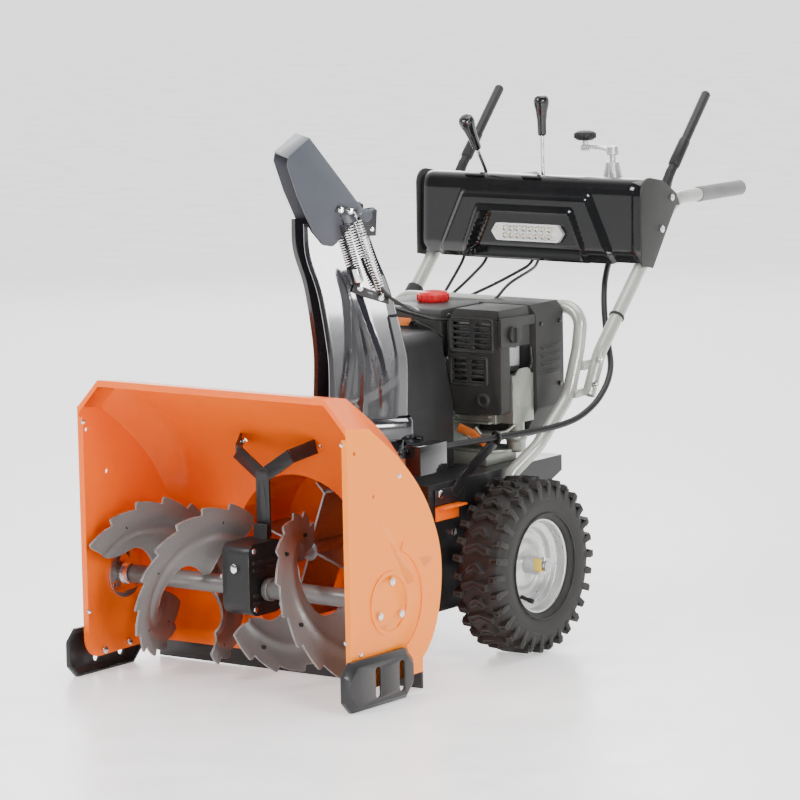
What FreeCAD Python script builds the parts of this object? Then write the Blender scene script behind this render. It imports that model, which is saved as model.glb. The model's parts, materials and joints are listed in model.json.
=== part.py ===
import FreeCAD, Part
import math
import os
import re
import types
import Sketcher

# Two stage snowblower. X runs across the machine, to the operator's left; the augers face -Y; Z is up
# from the ground. Every sub-part is drawn with Y counted from the front edge of the auger housing, and
# its Placement moves it back by front_y, so that the machine's origin is under its middle.

Vector = FreeCAD.Vector
doc = FreeCAD.newDocument("snowblower")
sheet = doc.addObject("Spreadsheet::Sheet", "Sizes")

sizes = {
    "front_y": -680.5,
    # auger housing
    "housing_w": 610, "housing_top": 549, "housing_depth": 275, "housing_bottom": 34, "sheet_wall": 3,
    "corner_w": 50, "corner_drop": 50, "lip_drop": 12, "plate_flange": 9, "plate_corner": 40,
    "flange_y": 212, "scraper_wall": 5, "scraper_drop": 32, "scraper_rise": 24, "face_gap": 0.3,
    # skid shoes
    "skid_front": -38, "skid_len": 204, "skid_tall": 90, "skid_out": 17, "skid_wall": 4,
    "skid_slot_w": 15, "skid_slot_len": 56, "skid_bolt_y": 51, "skid_bolt_step": 71, "skid_bolt_z": 40,
    # auger drive
    "auger_y": 115, "auger_z": 174, "shaft_r": 10, "shaft_gap": 0.05, "bearing_r": 46, "bearing_bolt_r": 38,
    "bearing_hub_r": 20, "bearing_hub_len": 16, "bearing_wall": 6, "bolt_r": 4,
    "auger_r": 147, "tooth_deep": 13, "ribbon_w": 68, "ribbon_wall": 4, "sleeve_r": 17,
    "auger_out": 276, "auger_in": 48, "flight_sweep": 272, "flight_teeth": 12,
    "left_phase": 28, "right_phase": 60,
    "case_half": 30, "case_front": 66, "case_depth": 100, "case_base": 128, "case_tall": 132,
    "case_wall": 9, "worm_rise": 41, "wheel_tip_r": 27, "wheel_face": 20, "worm_tip_r": 13,
    "strap_w": 30, "strap_wall": 4, "strap_y": 150, "fork_z": 372, "foot_x": 85, "foot_z": 424,
    # impeller and its housing
    "drum_r": 146, "drum_rear": 412, "outlet_x": 105, "outlet_y": 341, "outlet_r": 58, "outlet_top": 406,
    "blade_gap": 4, "blade_front": 284, "blade_deep": 110, "blade_wall": 4, "blade_hub_r": 19,
    "pulley_y": 450, "pulley_w": 18, "auger_pulley_r": 88, "crank_pulley_r": 34, "drive_pulley_y": 474,
    "drive_pulley_r": 60, "belt_deep": 6,
    # frame and drive
    "frame_half": 180, "frame_base": 95, "deck_z": 330, "frame_rear": 700, "deck_rear": 850,
    "axle_y": 593, "axle_z": 165, "axle_r": 10, "axle_half": 319, "disc_y": 508, "disc_wall": 8,
    "disc_r": 80, "friction_r": 46, "friction_w": 16, "friction_x": 45, "hex_r": 9, "gear_x": 130,
         "gear_face": 14,
    "gear_teeth": 48, "pinion_teeth": 12,
    # wheels
    "tyre_r": 165, "tyre_w": 102, "wheel_x": 264, "rim_r": 86, "lug_deep": 11, "lug_count": 15,
    "rim_wall": 3, "hub_r": 17, "hub_in": 186, "hub_out": 309,
    # engine
    "crank_z": 430, "crank_r": 12, "engine_front": 650, "guard_x": 58, "guard_w": 123, "guard_base": 430,
    "guard_top": 627, "guard_deep": 96, "cover_x": 190, "fan_y": 758, "fan_deep": 92, "tank_x": -150,
    "tank_w": 194, "tank_y": 650, "tank_deep": 190, "tank_base": 540, "tank_top": 622, "cap_x": -51,
    "cap_y": 760, "cap_r": 32, "cap_tall": 20, "belt_cover_top": 585,
    # chute
    "chute_heading": -131, "chute_rest_z": 406.3, "ring_r": 99, "ring_wall": 6, "chute_wall": 3,
    "chute_half": 70, "chute_top_half": 54, "collar_top": 470, "hinge_s": 15, "hinge_z": 838, "hinge_pin_r": 4,
    "deflector_gap": 6, "worm_x": 215, "worm_box_y": 319, "worm_box_len": 82, "worm_z": 406,
    "worm_r": 10, "worm_box_half": 16,
    # handles and console
    "handle_r": 13, "handle_bore": 11, "lower_x": 219.5, "upper_x": 246, "grip_r": 15, "grip_len": 157,
    "handle_end": 1399, "grip_z": 797, "console_half": 262, "end_wall": 4,
    "pivot_y": 1075, "pivot_z": 745, "pivot_r": 6, "paddle_y": 1112, "paddle_z": 803, "paddle_pin_r": 5,
    "paddle_len": 262, "paddle_rise": 44, "paddle_w": 12, "speed_x": -131, "tilt_x": 4, "crank_x": 141,
    "crank_y": 1100, "lamp_x": -4, "lamp_z": 732, "lamp_w": 168, "lamp_tall": 34,
    "sheath_r": 6, "cable_r": 3,
}
for row, (alias, number) in enumerate(sizes.items(), start=1):
    sheet.set("A%d" % row, alias)
    sheet.set("B%d" % row, str(number))
    sheet.setAlias("B%d" % row, alias)
doc.recompute()
size = types.SimpleNamespace(**{alias: float(sheet.get(alias)) for alias in sizes})

along_x = FreeCAD.Rotation(Vector(0, 1, 0), 90)
along_y = FreeCAD.Rotation(Vector(1, 0, 0), -90)
upright = FreeCAD.Rotation()
pieces = []


def named(text):
    # puts the sheet's name before each alias in an expression
    return re.sub(r"[A-Za-z_]\w*", lambda w: "Sizes." + w.group() if w.group() in sizes else w.group(),
                  str(text))


def value(text):
    return float(sheet.evalExpression(named(text)))


def place(item, x, y, z, turn=upright):
    item.Placement = FreeCAD.Placement(Vector(), turn)
    for axis, text in (("x", x), ("y", y), ("z", z)):
        item.setExpression("Placement.Base." + axis, named(text))
    return item


def keep(item, node, x=0, y="front_y", z=0, turn=upright):
    # a finished sub-part: its label names its file
    place(item, x, y, z, turn)
    item.Label = node
    pieces.append(item)
    return item


def block(low, wide, name="block"):
    item = doc.addObject("Part::Box", name)
    for prop, text in zip(("Length", "Width", "Height"), wide):
        item.setExpression(prop, named(text))
    return place(item, *low)


def rod(radius, length, start, turn=upright, name="rod"):
    item = doc.addObject("Part::Cylinder", name)
    item.setExpression("Radius", named(radius))
    item.setExpression("Height", named(length))
    return place(item, *start, turn)


def fuse(*items):
    joined = doc.addObject("Part::MultiFuse", "joined")
    joined.Shapes = list(items)
    return joined


def cut(base, *tools):
    pared = doc.addObject("Part::Cut", "pared")
    pared.Base = base
    pared.Tool = tools[0] if len(tools) == 1 else fuse(*tools)
    return pared


def solid(shape, name="form"):
    # a moved shape goes inside a compound, because its own place gives way to the sub-part's Placement
    item = doc.addObject("Part::Feature", name)
    item.Shape = shape if shape.Placement.isIdentity() else Part.makeCompound([shape])
    return item


def origin_part(body, role):
    return [part for part in body.Origin.OriginFeatures if part.Role == role][0]


def sketch_on(body, role, corners, offset="0"):
    # a closed outline of straight runs; a corner's third value is its rounding radius
    sketch = body.newObject("Sketcher::SketchObject", "outline")
    sketch.AttachmentSupport = [(origin_part(body, role), "")]
    sketch.MapMode = "FlatFace"
    sketch.setExpression("AttachmentOffset.Base.z", named(offset))
    at = [Vector(value(c[0]), value(c[1]), 0) for c in corners]
    radii = [value(c[2]) if len(c) > 2 else 0 for c in corners]
    count = len(corners)
    starts, ends, centres = [], [], []
    for i in range(count):
        back = (at[i - 1] - at[i]).normalize()
        ahead = (at[(i + 1) % count] - at[i]).normalize()
        reach = radii[i] / math.tan(back.getAngle(ahead) / 2) if radii[i] else 0
        starts.append(at[i] + back * reach)
        ends.append(at[i] + ahead * reach)
        middle = back + ahead
        far = radii[i] / math.sin(back.getAngle(ahead) / 2) if radii[i] else 0
        centres.append(at[i] + middle.normalize() * far if far else at[i])
    lines = [sketch.addGeometry(Part.LineSegment(ends[i], starts[(i + 1) % count])) for i in range(count)]
    for i, corner in enumerate(corners):
        if radii[i]:
            angles = [math.atan2(*(p - centres[i])[1::-1]) for p in (starts[i], ends[i])]
            turn = (at[i] - at[i - 1]).cross(at[(i + 1) % count] - at[i]).z
            first, last = angles if turn > 0 else angles[::-1]
            circle = Part.Circle(centres[i], Vector(0, 0, 1), radii[i])
            arc = sketch.addGeometry(Part.ArcOfCircle(circle, first, last))
            into, out = (1, 2) if turn > 0 else (2, 1)
            point = sketch.addGeometry(Part.Point(at[i]), True)
            sketch.addConstraint([
                Sketcher.Constraint("Tangent", lines[i - 1], 2, arc, into),
                Sketcher.Constraint("Tangent", arc, out, lines[i], 1),
                Sketcher.Constraint("PointOnObject", point, 1, lines[i - 1]),
                Sketcher.Constraint("PointOnObject", point, 1, lines[i]),
            ])
            held = sketch.addConstraint(Sketcher.Constraint("Radius", arc, radii[i]))
            sketch.setExpression("Constraints[%d]" % held, named(corner[2]))
        else:
            point = lines[i]
            sketch.addConstraint(Sketcher.Constraint("Coincident", lines[i - 1], 2, lines[i], 1))
        for kind, text, number in (("DistanceX", corner[0], at[i].x), ("DistanceY", corner[1], at[i].y)):
            held = sketch.addConstraint(Sketcher.Constraint(kind, -1, 1, point, 1, number))
            sketch.setExpression("Constraints[%d]" % held, named(text))
    return sketch


def prism(role, corners, length, offset="0", both=False, back=False):
    # an outline padded straight off one of its body's own planes
    body = doc.addObject("PartDesign::Body", "body")
    sketch = sketch_on(body, role, corners, offset)
    pad = body.newObject("PartDesign::Pad", "pad")
    pad.Profile = sketch
    pad.setExpression("Length", named(length))
    pad.Midplane = both
    pad.Reversed = back
    return body


def turned(role, axis, *outlines):
    # one or more outlines, each revolved about an axis of the body
    body = doc.addObject("PartDesign::Body", "body")
    for corners in outlines:
        sketch = sketch_on(body, role, corners)
        lathe = body.newObject("PartDesign::Revolution", "lathe")
        lathe.Profile = sketch
        lathe.ReferenceAxis = (origin_part(body, axis), [""])
        lathe.Angle = 360
    return body


def oblong(x, y, wide, tall):
    # the corners of a slot with fully rounded ends
    r = "(%s) * 0.499" % wide
    return [("%s - (%s) / 2" % (x, wide), "%s - (%s) / 2" % (y, tall), r),
            ("%s + (%s) / 2" % (x, wide), "%s - (%s) / 2" % (y, tall), r),
            ("%s + (%s) / 2" % (x, wide), "%s + (%s) / 2" % (y, tall), r),
            ("%s - (%s) / 2" % (x, wide), "%s + (%s) / 2" % (y, tall), r)]


def spline(points):
    curve = Part.BSplineCurve()
    curve.interpolate([Vector(*p) for p in points])
    return curve.toShape()


def chain(points):
    return [Part.makeLine(Vector(*a), Vector(*b)) for a, b in zip(points, points[1:])]


def bar(start, end, wide, thick, side):
    # a flat bar from one point to another, its width along side
    start, end = Vector(*start), Vector(*end)
    run = (end - start).normalize()
    across = Vector(*side)
    across = (across - run * across.dot(run)).normalize()
    normal = run.cross(across)
    corners = [across * (a * wide / 2) + normal * (b * thick / 2) for a,
               b in ((1, 1), (-1, 1), (-1, -1), (1, -1))]
    face = Part.Face(Part.makePolygon([start + c for c in corners] + [start + corners[0]]))
    return face.extrude(end - start)


def route(points, radii):
    # straight runs joined by tangent arcs
    points = [Vector(*p) for p in points]
    edges = []
    last = points[0]
    for i in range(1, len(points) - 1):
        back = (points[i - 1] - points[i]).normalize()
        ahead = (points[i + 1] - points[i]).normalize()
        half = back.getAngle(ahead) / 2
        reach = radii[i - 1] / math.tan(half)
        middle = (back + ahead).normalize()
        enter = points[i] + back * reach
        leave = points[i] + ahead * reach
        crown = points[i] + middle * (radii[i - 1] / math.sin(half) - radii[i - 1])
        edges.append(Part.makeLine(last, enter))
        edges.append(Part.Arc(enter, crown, leave).toShape())
        last = leave
    edges.append(Part.makeLine(last, points[-1]))
    return Part.Wire(edges)


def easy_radii(points):
    # each arc as large as its two runs allow
    points = [Vector(*p) for p in points]
    radii = []
    for a, b, c in zip(points, points[1:], points[2:]):
        half = (math.pi - (a - b).getAngle(c - b)) / 2
        radii.append(0.45 * min((a - b).Length, (c - b).Length) / math.tan(half))
    return radii


def pipe(points, radii, r, bore=0):
    path = route(points, radii)
    start = Vector(*points[0])
    way = Vector(*points[1]) - start
    body = path.makePipeShell([Part.Wire(Part.makeCircle(r, start, way))], True, True)
    if bore:
        body = body.cut(path.makePipeShell([Part.Wire(Part.makeCircle(bore, start, way))], True, True))
    return body


def hex_head(at, way, across=12, tall=5):
    # a hexagon head standing on a face
    way = Vector(*way)
    side = Vector(0, 0, 1) if abs(way.z) < 0.9 else Vector(1, 0, 0)
    other = way.cross(side)
    ring = []
    for k in range(7):
        a = math.radians(60 * k)
        corner = side * math.cos(a) + other * math.sin(a)
        ring.append(Vector(*at) + corner * (across / math.sqrt(3)))
    return Part.Face(Part.makePolygon(ring)).extrude(way * tall)


# ---- auger housing -------------------------------------------------------------------------------
# Side view of its rear wall, as shares of the housing's depth and height: the middle's roof and the
# side plates' lower shoulder run into one common round back.
roof_curve = [(0.244, 0.985), (0.498, 0.900), (0.665, 0.834), (0.865, 0.712), (0.938, 0.528)]
plate_curve = [(0.233, 0.894), (0.389, 0.840), (0.560, 0.776), (0.705, 0.707), (0.829, 0.630),
               (0.938, 0.528)]
back_curve = [(0.938, 0.528), (1.0, 0.39), (0.989, 0.315), (0.885, 0.165)]


def scaled(curve):
    points = [(size.housing_depth * y, size.housing_top * z) for y, z in curve]
    if curve is back_curve:
        points.append((size.flange_y, size.housing_bottom + size.scraper_rise))
    return points


def shifted(points, wall):
    # the same run of points, moved inwards by the wall
    moved = []
    for i, (y, z) in enumerate(points):
        before = points[max(i - 1, 0)]
        after = points[min(i + 1, len(points) - 1)]
        run = Vector(after[0] - before[0], after[1] - before[1], 0).normalize()
        moved.append((y + run.y * wall, z - run.x * wall))
    return moved


def housing_strip(x, curve, front_z):
    # the closed section of the shell's sheet at one x
    wall = size.sheet_wall
    upper, lower = scaled(curve), scaled(back_curve)
    whole = shifted(upper + lower[1:], wall)
    inner_upper, inner_lower = whole[:len(upper)], whole[len(upper) - 1:]
    inner_lower[-1] = (lower[-1][0] - wall, lower[-1][1])
    outer = [(0, front_z - size.lip_drop), (0, front_z), upper[0]]
    flange = [lower[-1], (lower[-1][0], size.housing_bottom), (lower[-1][0] - wall, size.housing_bottom),
              inner_lower[-1]]
    inner = [inner_upper[0], (wall, front_z - wall), (wall, front_z - size.lip_drop), outer[0]]
    at = lambda run: [(x, y, z) for y, z in run]
    return Part.Wire(chain(at(outer)) + [spline(at(upper)), spline(at(lower))] + chain(at(flange))
                     + [spline(at(inner_lower[::-1])), spline(at(inner_upper[::-1]))] + chain(at(inner)))


def wall_y(z, wall=0.0):
    # where the middle of the rear wall stands at one height
    upper = shifted(scaled(roof_curve), wall)
    edge = spline([(0, y, h) for y, h in upper])
    level = Part.makeLine(Vector(0, -size.housing_depth, z), Vector(0, 2 * size.housing_depth, z))
    return edge.distToShape(level)[1][0][0].y


crown_half = size.housing_w / 2 - size.corner_w
plate_in = size.housing_w / 2 - size.sheet_wall
shoulder_z = size.housing_top - size.corner_drop


def auger_housing():
    sides = [housing_strip(s * plate_in, plate_curve, shoulder_z) for s in (-1, 1)]
    crown = [housing_strip(s * crown_half, roof_curve, size.housing_top) for s in (-1, 1)]
    shell = Part.makeLoft(crown, True, True)
    for side, edge in zip(sides, crown):
        shell = shell.fuse(Part.makeLoft([side, edge], True, True))
    mouth = Part.makeCylinder(size.drum_r, size.housing_depth, Vector(0, size.auger_y, drum_z),
                              Vector(0, 1, 0))
    shell = shell.cut(mouth)
    for x in (-size.foot_x, size.foot_x):
        hole = Part.makeCylinder(size.bolt_r, 60, Vector(x, wall_y(size.foot_z) - 30, size.foot_z),
                                 Vector(0, 1, 0))
        shell = shell.cut(hole)
    keep(solid(shell.removeSplitter(), "auger_housing"), "auger_housing")


def bearing_bolts():
    # y and z of the three bolts of an auger bearing
    angles = [84, 209, 322]
    return [(size.auger_y + size.bearing_bolt_r * math.cos(math.radians(a)),
             size.auger_z + size.bearing_bolt_r * math.sin(math.radians(a))) for a in angles]


skid_bolts = [(size.skid_bolt_y + k * size.skid_bolt_step, size.skid_bolt_z + 4 * k) for k in (0, 1)]
cutter_holes = [(0.076 * size.housing_depth, 0.825 * size.housing_top),
                (0.273 * size.housing_depth, 0.672 * size.housing_top)]


def side_plate(side):
    # a flat plate with a folded front edge and two raised ribs round the auger bearing
    r = size.plate_corner
    base = size.housing_bottom - 4
    upper, lower = scaled(plate_curve), scaled(back_curve)
    outline = [(0, y, z) for y, z in ((0, base + r), (0, shoulder_z), upper[0])]
    foot = [(0, y, z) for y, z in (lower[-1], (lower[-1][0], size.housing_bottom), (r, base))]
    corner = Part.Arc(Vector(*foot[-1]), Vector(0, r - r * 0.7071, base + r - r * 0.7071),
                      Vector(0, 0, base + r))
    face = Part.Face(Part.Wire(chain(outline) + [spline([(0, y, z) for y, z in upper]),
                                                 spline([(0, y, z) for y, z in lower])]
                               + chain(foot) + [corner.toShape()]))
    plate = face.extrude(Vector(size.sheet_wall, 0, 0))
    hub = Vector(size.sheet_wall, size.auger_y, size.auger_z)
    way = Vector(1, 0, 0)
    for inner, outer, first, sweep in ((50, 57, 0, 360), (96, 112, -62, 130)):
        ring = Part.makeCylinder(outer, 2.5, hub, way).cut(Part.makeCylinder(inner, 2.5, hub, way))
        if sweep < 360:
            a, b = math.radians(first), math.radians(first + sweep)
            far = 2 * outer
            wedge = [hub, hub + Vector(0, far * math.cos(a), far * math.sin(a)),
                     hub + Vector(0, far * 1.6 * math.cos((a + b) / 2), far * 1.6 * math.sin((a + b) / 2)),
                     hub + Vector(0, far * math.cos(b), far * math.sin(b)), hub]
            ring = ring.common(Part.Face(Part.makePolygon(wedge)).extrude(Vector(2.5, 0, 0)))
        plate = plate.fuse(ring)
    flange = Part.makeBox(size.plate_flange, size.sheet_wall, shoulder_z - base - r - 30,
                          Vector(-size.plate_flange, 0, base + r + 10))
    plate = plate.fuse(flange)
    for y, z in bearing_bolts() + skid_bolts + cutter_holes:
        plate = plate.cut(Part.makeCylinder(size.bolt_r, 20, Vector(-5, y, z), way))
    plate = plate.removeSplitter()
    plate.translate(Vector(plate_in, 0, 0))
    if side < 0:
        plate = plate.mirror(Vector(0, 0, 0), Vector(1, 0, 0))
    node = "side_plate_left" if side > 0 else "side_plate_right"
    keep(solid(plate, node), node)


def scraper_bar():
    # bolted behind the rear wall's bottom flange
    y = "flange_y + face_gap"
    bar_block = block(("-housing_w / 2 + sheet_wall + face_gap", y, "housing_bottom - scraper_drop"),
                      ("housing_w - 2 * sheet_wall - 2 * face_gap", "scraper_wall",
                       "scraper_drop + scraper_rise - 2"))
    keep(bar_block, "scraper_bar", "-housing_w / 2 + sheet_wall + face_gap", "front_y + " + y,
         "housing_bottom - scraper_drop")


def skid_shoes():
    # a pressed tray each side: flat face with two slots, sloped top, front and rear, and a sole
    half = size.housing_w / 2
    shoes = []
    y0, y1 = size.skid_front, size.skid_front + size.skid_len
    top, out, wall = size.skid_tall, size.skid_out, size.skid_wall
    chop = 0.24 * top

    def ring(x, inset):
        points = [(y0 + chop + inset, inset), (y1 - chop - inset, inset), (y1 - inset, chop + inset),
                  (y1 - inset, top - chop - inset), (y1 - chop - inset, top - inset),
                  (y0 + chop + inset, top - inset),
                  (y0 + inset, top - chop - inset), (y0 + inset, chop + inset)]
        points = [Vector(x, y, z) for y, z in points]
        return Part.makePolygon(points + points[:1])

    for side in (-1, 1):
        tray = Part.makeLoft([ring(half, 0), ring(half + out - 9, 0), ring(half + out, 9)], True, True)
        hollow = Part.makeLoft([ring(half - 1, wall), ring(half + out - 9 - 2, wall),
                                ring(half + out - wall, 9 + wall)],
                               True, True)
        tray = tray.cut(hollow)
        for y, z in skid_bolts:
            w, tall = size.skid_slot_w, size.skid_slot_len - size.skid_slot_w
            z0 = size.skid_tall / 2 - tall / 2
            slot = Part.makeBox(2 * out, w, tall, Vector(half - 1, y - w / 2, z0))
            for z_end in (z0, z0 + tall):
                slot = slot.fuse(Part.makeCylinder(w / 2, 2 * out, Vector(half - 1, y, z_end),
                                                   Vector(1, 0, 0)))
            tray = tray.cut(slot)
        tray.translate(Vector(size.face_gap + 2.5, 0, 0))
        shoes.append(tray if side > 0 else tray.mirror(Vector(0, 0, 0), Vector(1, 0, 0)))
    keep(solid(Part.makeCompound(shoes), "skid_shoes"), "skid_shoes")


# ---- augers --------------------------------------------------------------------------------------
def flight(start):
    # one serrated ribbon: wide at its two spokes, stepped along its rim
    sections = []
    wall = size.ribbon_wall

    def section(share, outer):
        turn = math.radians(start + size.flight_sweep * share)
        x = size.auger_out + (size.auger_in - size.auger_out) * share
        reach = 0
        for spoke in (0.25, 0.8):
            reach = max(reach, math.exp(-((share - spoke) / 0.075) ** 2))
        hub = size.sleeve_r - 3
        inner = size.auger_r - size.tooth_deep - size.ribbon_w
        inner = inner - (inner - hub) * reach
        ring = [Vector(x + dx, -r * math.cos(turn), r * math.sin(turn))
                for dx, r in ((-wall / 2, inner), (-wall / 2, outer), (wall / 2, outer), (wall / 2, inner))]
        sections.append(Part.makePolygon(ring + ring[:1]))

    teeth = int(size.flight_teeth)
    root = size.auger_r - size.tooth_deep
    section(0, root)
    for k in range(teeth):
        section((k + 0.10) / teeth, size.auger_r)
        section((k + 0.55) / teeth, size.auger_r - 0.5 * size.tooth_deep)
        section((k + 1.0) / teeth, root)
    return Part.makeLoft(sections, True, True)


def auger(side, phase):
    node = "auger_left" if side > 0 else "auger_right"
    inner = size.case_half + 3
    way = Vector(1, 0, 0)
    body = Part.makeCylinder(size.sleeve_r, size.auger_out - inner, Vector(inner, 0, 0), way)
    for start in (phase, phase + 180):
        body = body.fuse(flight(start))
    body = body.cut(Part.makeCylinder(size.shaft_r, size.housing_w, Vector(0, 0, 0), way))
    if side < 0:
        body = body.mirror(Vector(0, 0, 0), way)
    keep(solid(body, node), node, 0, "front_y + auger_y", "auger_z")


def auger_shaft():
    half = "housing_w / 2 - sheet_wall - 3"
    shaft = rod("shaft_r", "2 * (%s)" % half, ("-(%s)" % half, 0, 0), along_x)
    keep(shaft, "auger_shaft", "-(%s)" % half, "front_y + auger_y", "auger_z", along_x)


def toothed(r_tip, teeth, face, bore, module):
    # a spur gear about X, with straight-sided teeth
    root = r_tip - 2.2 * module
    ring = []
    for k in range(teeth):
        for share, r in ((0.0, root), (0.26, root), (0.42, r_tip), (0.58, r_tip), (0.74, root)):
            a = 2 * math.pi * (k + share) / teeth
            ring.append(Vector(0, r * math.cos(a), r * math.sin(a)))
    gear = Part.Face(Part.makePolygon(ring + ring[:1])).extrude(Vector(face, 0, 0))
    return gear.cut(Part.makeCylinder(bore, face, Vector(0, 0, 0), Vector(1, 0, 0)))


def worm_wheel():
    wheel = toothed(size.wheel_tip_r, 20, size.wheel_face, size.shaft_r, 1.1)
    wheel.translate(Vector(-size.wheel_face / 2, 0, 0))
    keep(solid(wheel, "worm_wheel"), "worm_wheel", 0, "front_y + auger_y", "auger_z")


def gear_case():
    # a ribbed casting round the worm wheel and the worm, with an ear for the strap
    outer = prism("YZ_Plane", [("case_front", "case_base", 26),
                               ("case_front + case_depth", "case_base", 26),
                               ("case_front + case_depth", "case_base + case_tall", 18),
                               ("case_front", "case_base + case_tall", 18)], "2 * case_half", both=True)
    ribs = [block(("-case_half - 2", "case_front + 12", "case_base + %d" % z),
                  ("2 * case_half + 4", "case_depth - 24", 4))
            for z in (22, 36, 82, 96)]
    ear = block(("-strap_w / 2", "strap_y - 10", "case_base + case_tall - 8"), ("strap_w", 10, 34))
    pocket = rod("wheel_tip_r + 3", "2 * (case_half - case_wall)",
                 ("-case_half + case_wall", "auger_y", "auger_z"),
                 along_x)
    worm_room = rod("worm_tip_r + 2", 66, (0, "auger_y - 33", "auger_z + worm_rise"), along_y)
    cross_bore = rod("shaft_r + shaft_gap", "3 * case_half", ("-1.5 * case_half", "auger_y", "auger_z"),
                     along_x)
    long_bore = rod("shaft_r + shaft_gap", 100, (0, "auger_y", "auger_z + worm_rise"), along_y)
    keep(cut(fuse(outer, ear, *ribs), pocket, worm_room, cross_bore, long_bore), "gear_case")


def fork_foot(s):
    # the last bend and the end of one arm of the fork
    wall = size.strap_wall
    foot_y = wall_y(size.foot_z, size.sheet_wall) - wall / 2 - 8.6
    elbow = (s * size.foot_x * 0.72, size.strap_y + wall / 2 + 4, size.foot_z - 12)
    return elbow, (s * size.foot_x, foot_y, size.foot_z + 2)


def gearbox_bracket():
    # a fork of flat bars from the rear wall down to the gear case's ear
    wall = size.strap_wall
    y = size.strap_y + wall / 2
    hub = (0, y, size.fork_z)
    low = (0, y, size.case_base + size.case_tall + 2)
    shape = bar(low, hub, size.strap_w, wall, (1, 0, 0))
    shape = shape.fuse(Part.makeCylinder(size.strap_w / 2, wall, Vector(0, y - wall / 2, size.fork_z),
                                         Vector(0, 1, 0)))
    for s in (-1, 1):
        elbow, foot = fork_foot(s)
        shape = shape.fuse(bar(hub, elbow, 26, wall, (1, 0, -s)))
        shape = shape.fuse(bar(elbow, foot, 26, wall, (0, 0, 1)))
    keep(solid(shape, "gearbox_bracket"), "gearbox_bracket")


def axle_bush(s):
    # a flanged bush in the frame's side
    inner = "frame_half - sheet_wall" if s > 0 else "-frame_half"
    flange = "frame_half" if s > 0 else "-frame_half - 4"
    body = fuse(rod("axle_r + 6", "sheet_wall", (inner, "axle_y", "axle_z"), along_x),
                rod("axle_r + 13", 4, (flange, "axle_y", "axle_z"), along_x))
    return cut(body, rod("axle_r + shaft_gap", 30, ("%s - 10" % inner, "axle_y", "axle_z"), along_x))


def bearings():
    # flanged auger bearings on the side plates, the impeller bearing behind its drum, and the axle's bushes
    items = []
    for s in (-1, 1):
        edge = "housing_w / 2 - sheet_wall - bearing_wall"
        if s > 0:
            flange, hub, bore = edge, "%s - bearing_hub_len" % edge, "%s - bearing_hub_len - 1" % edge
        else:
            flange, hub = "-(%s) - bearing_wall" % edge, "-(%s)" % edge
            bore = flange + " - 1"
        body = fuse(rod("bearing_r", "bearing_wall", (flange, "auger_y", "auger_z"), along_x),
                    rod("bearing_hub_r", "bearing_hub_len", (hub, "auger_y", "auger_z"), along_x))
        holes = [rod("bolt_r", 30, (s * 300 - 20, y, z), along_x) for y, z in bearing_bolts()]
        items.append(cut(body, rod("shaft_r + shaft_gap", 60, (bore, "auger_y", "auger_z"), along_x),
                         *holes))
    rear = cut(fuse(rod("bearing_r", "bearing_wall", (0, "drum_rear + sheet_wall + face_gap",
                                                      "auger_z + worm_rise"), along_y),
                    rod("bearing_hub_r", 16, (0, "drum_rear + sheet_wall + face_gap",
                                              "auger_z + worm_rise"), along_y)),
               rod("shaft_r + shaft_gap", 60, (0, "drum_rear", "auger_z + worm_rise"), along_y))
    group = doc.addObject("Part::Compound", "bearings")
    group.Links = items + [rear, axle_bush(-1), axle_bush(1)]
    keep(group, "bearings")


# ---- impeller ------------------------------------------------------------------------------------
drum_z = size.auger_z + size.worm_rise


def impeller_housing():
    # the drum behind the augers, its spout, and the small bracket beside it
    wall = size.sheet_wall
    way = Vector(0, 1, 0)
    front = size.auger_y + 40
    drum = Part.makeCylinder(size.drum_r + wall, size.drum_rear - front, Vector(0, front, drum_z), way)
    spout = Part.makeCylinder(size.outlet_r + wall, size.outlet_top - drum_z,
                              Vector(size.outlet_x, size.outlet_y, drum_z))
    shelf = Part.makeBox(50, 84, 4, Vector(172, 342,
                                           334)).fuse(Part.makeBox(4, 84, 31, Vector(218, 342, 334)))
    body = drum.fuse(spout).fuse(shelf)
    body = body.cut(Part.makeCylinder(size.drum_r, size.drum_rear - front - wall, Vector(0, front, drum_z),
                                      way))
    body = body.cut(Part.makeCylinder(size.outlet_r, size.outlet_top,
                                      Vector(size.outlet_x, size.outlet_y, drum_z + wall)))
    body = body.cut(Part.makeCylinder(size.shaft_r + 1, 60, Vector(0, size.drum_rear - 30, drum_z), way))
    lower, upper = scaled(back_curve), scaled(roof_curve)
    run = [(-250, y, z) for y, z in ((0, size.housing_top), upper[0])]
    end = [(-250, y, z) for y, z in (lower[-1], (lower[-1][0], 0), (0, 0), (0, size.housing_top))]
    space = Part.Face(Part.Wire(chain(run) + [spline([(-250, y, z) for y, z in upper]),
                                              spline([(-250, y, z) for y, z in lower])] + chain(end)))
    body = body.cut(space.extrude(Vector(500, 0, 0)))
    keep(solid(max(body.Solids, key=lambda s: s.Volume), "impeller_housing"), "impeller_housing")


def impeller():
    # a hub and four blades with bent tips
    way = Vector(0, 1, 0)
    r = size.drum_r - size.blade_gap
    body = Part.makeCylinder(size.blade_hub_r, size.blade_deep, Vector(0, 0, 0), way)
    for k in range(4):
        blade = Part.makeBox(r - 30, size.blade_deep, size.blade_wall, Vector(5, 0, 0))
        tip = Part.makeBox(size.blade_wall, size.blade_deep, 30, Vector(r - 30 + 1, 0, 0))
        tip.rotate(Vector(r - 29, 0, 0), way, 25)
        vane = blade.fuse(tip)
        vane.rotate(Vector(0, 0, 0), way, 90 * k + 20)
        body = body.fuse(vane)
    body = body.cut(Part.makeCylinder(size.shaft_r, size.blade_deep, Vector(0, 0, 0), way))
    keep(solid(body.removeSplitter(), "impeller"), "impeller", 0, "front_y + blade_front",
         "auger_z + worm_rise")


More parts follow.
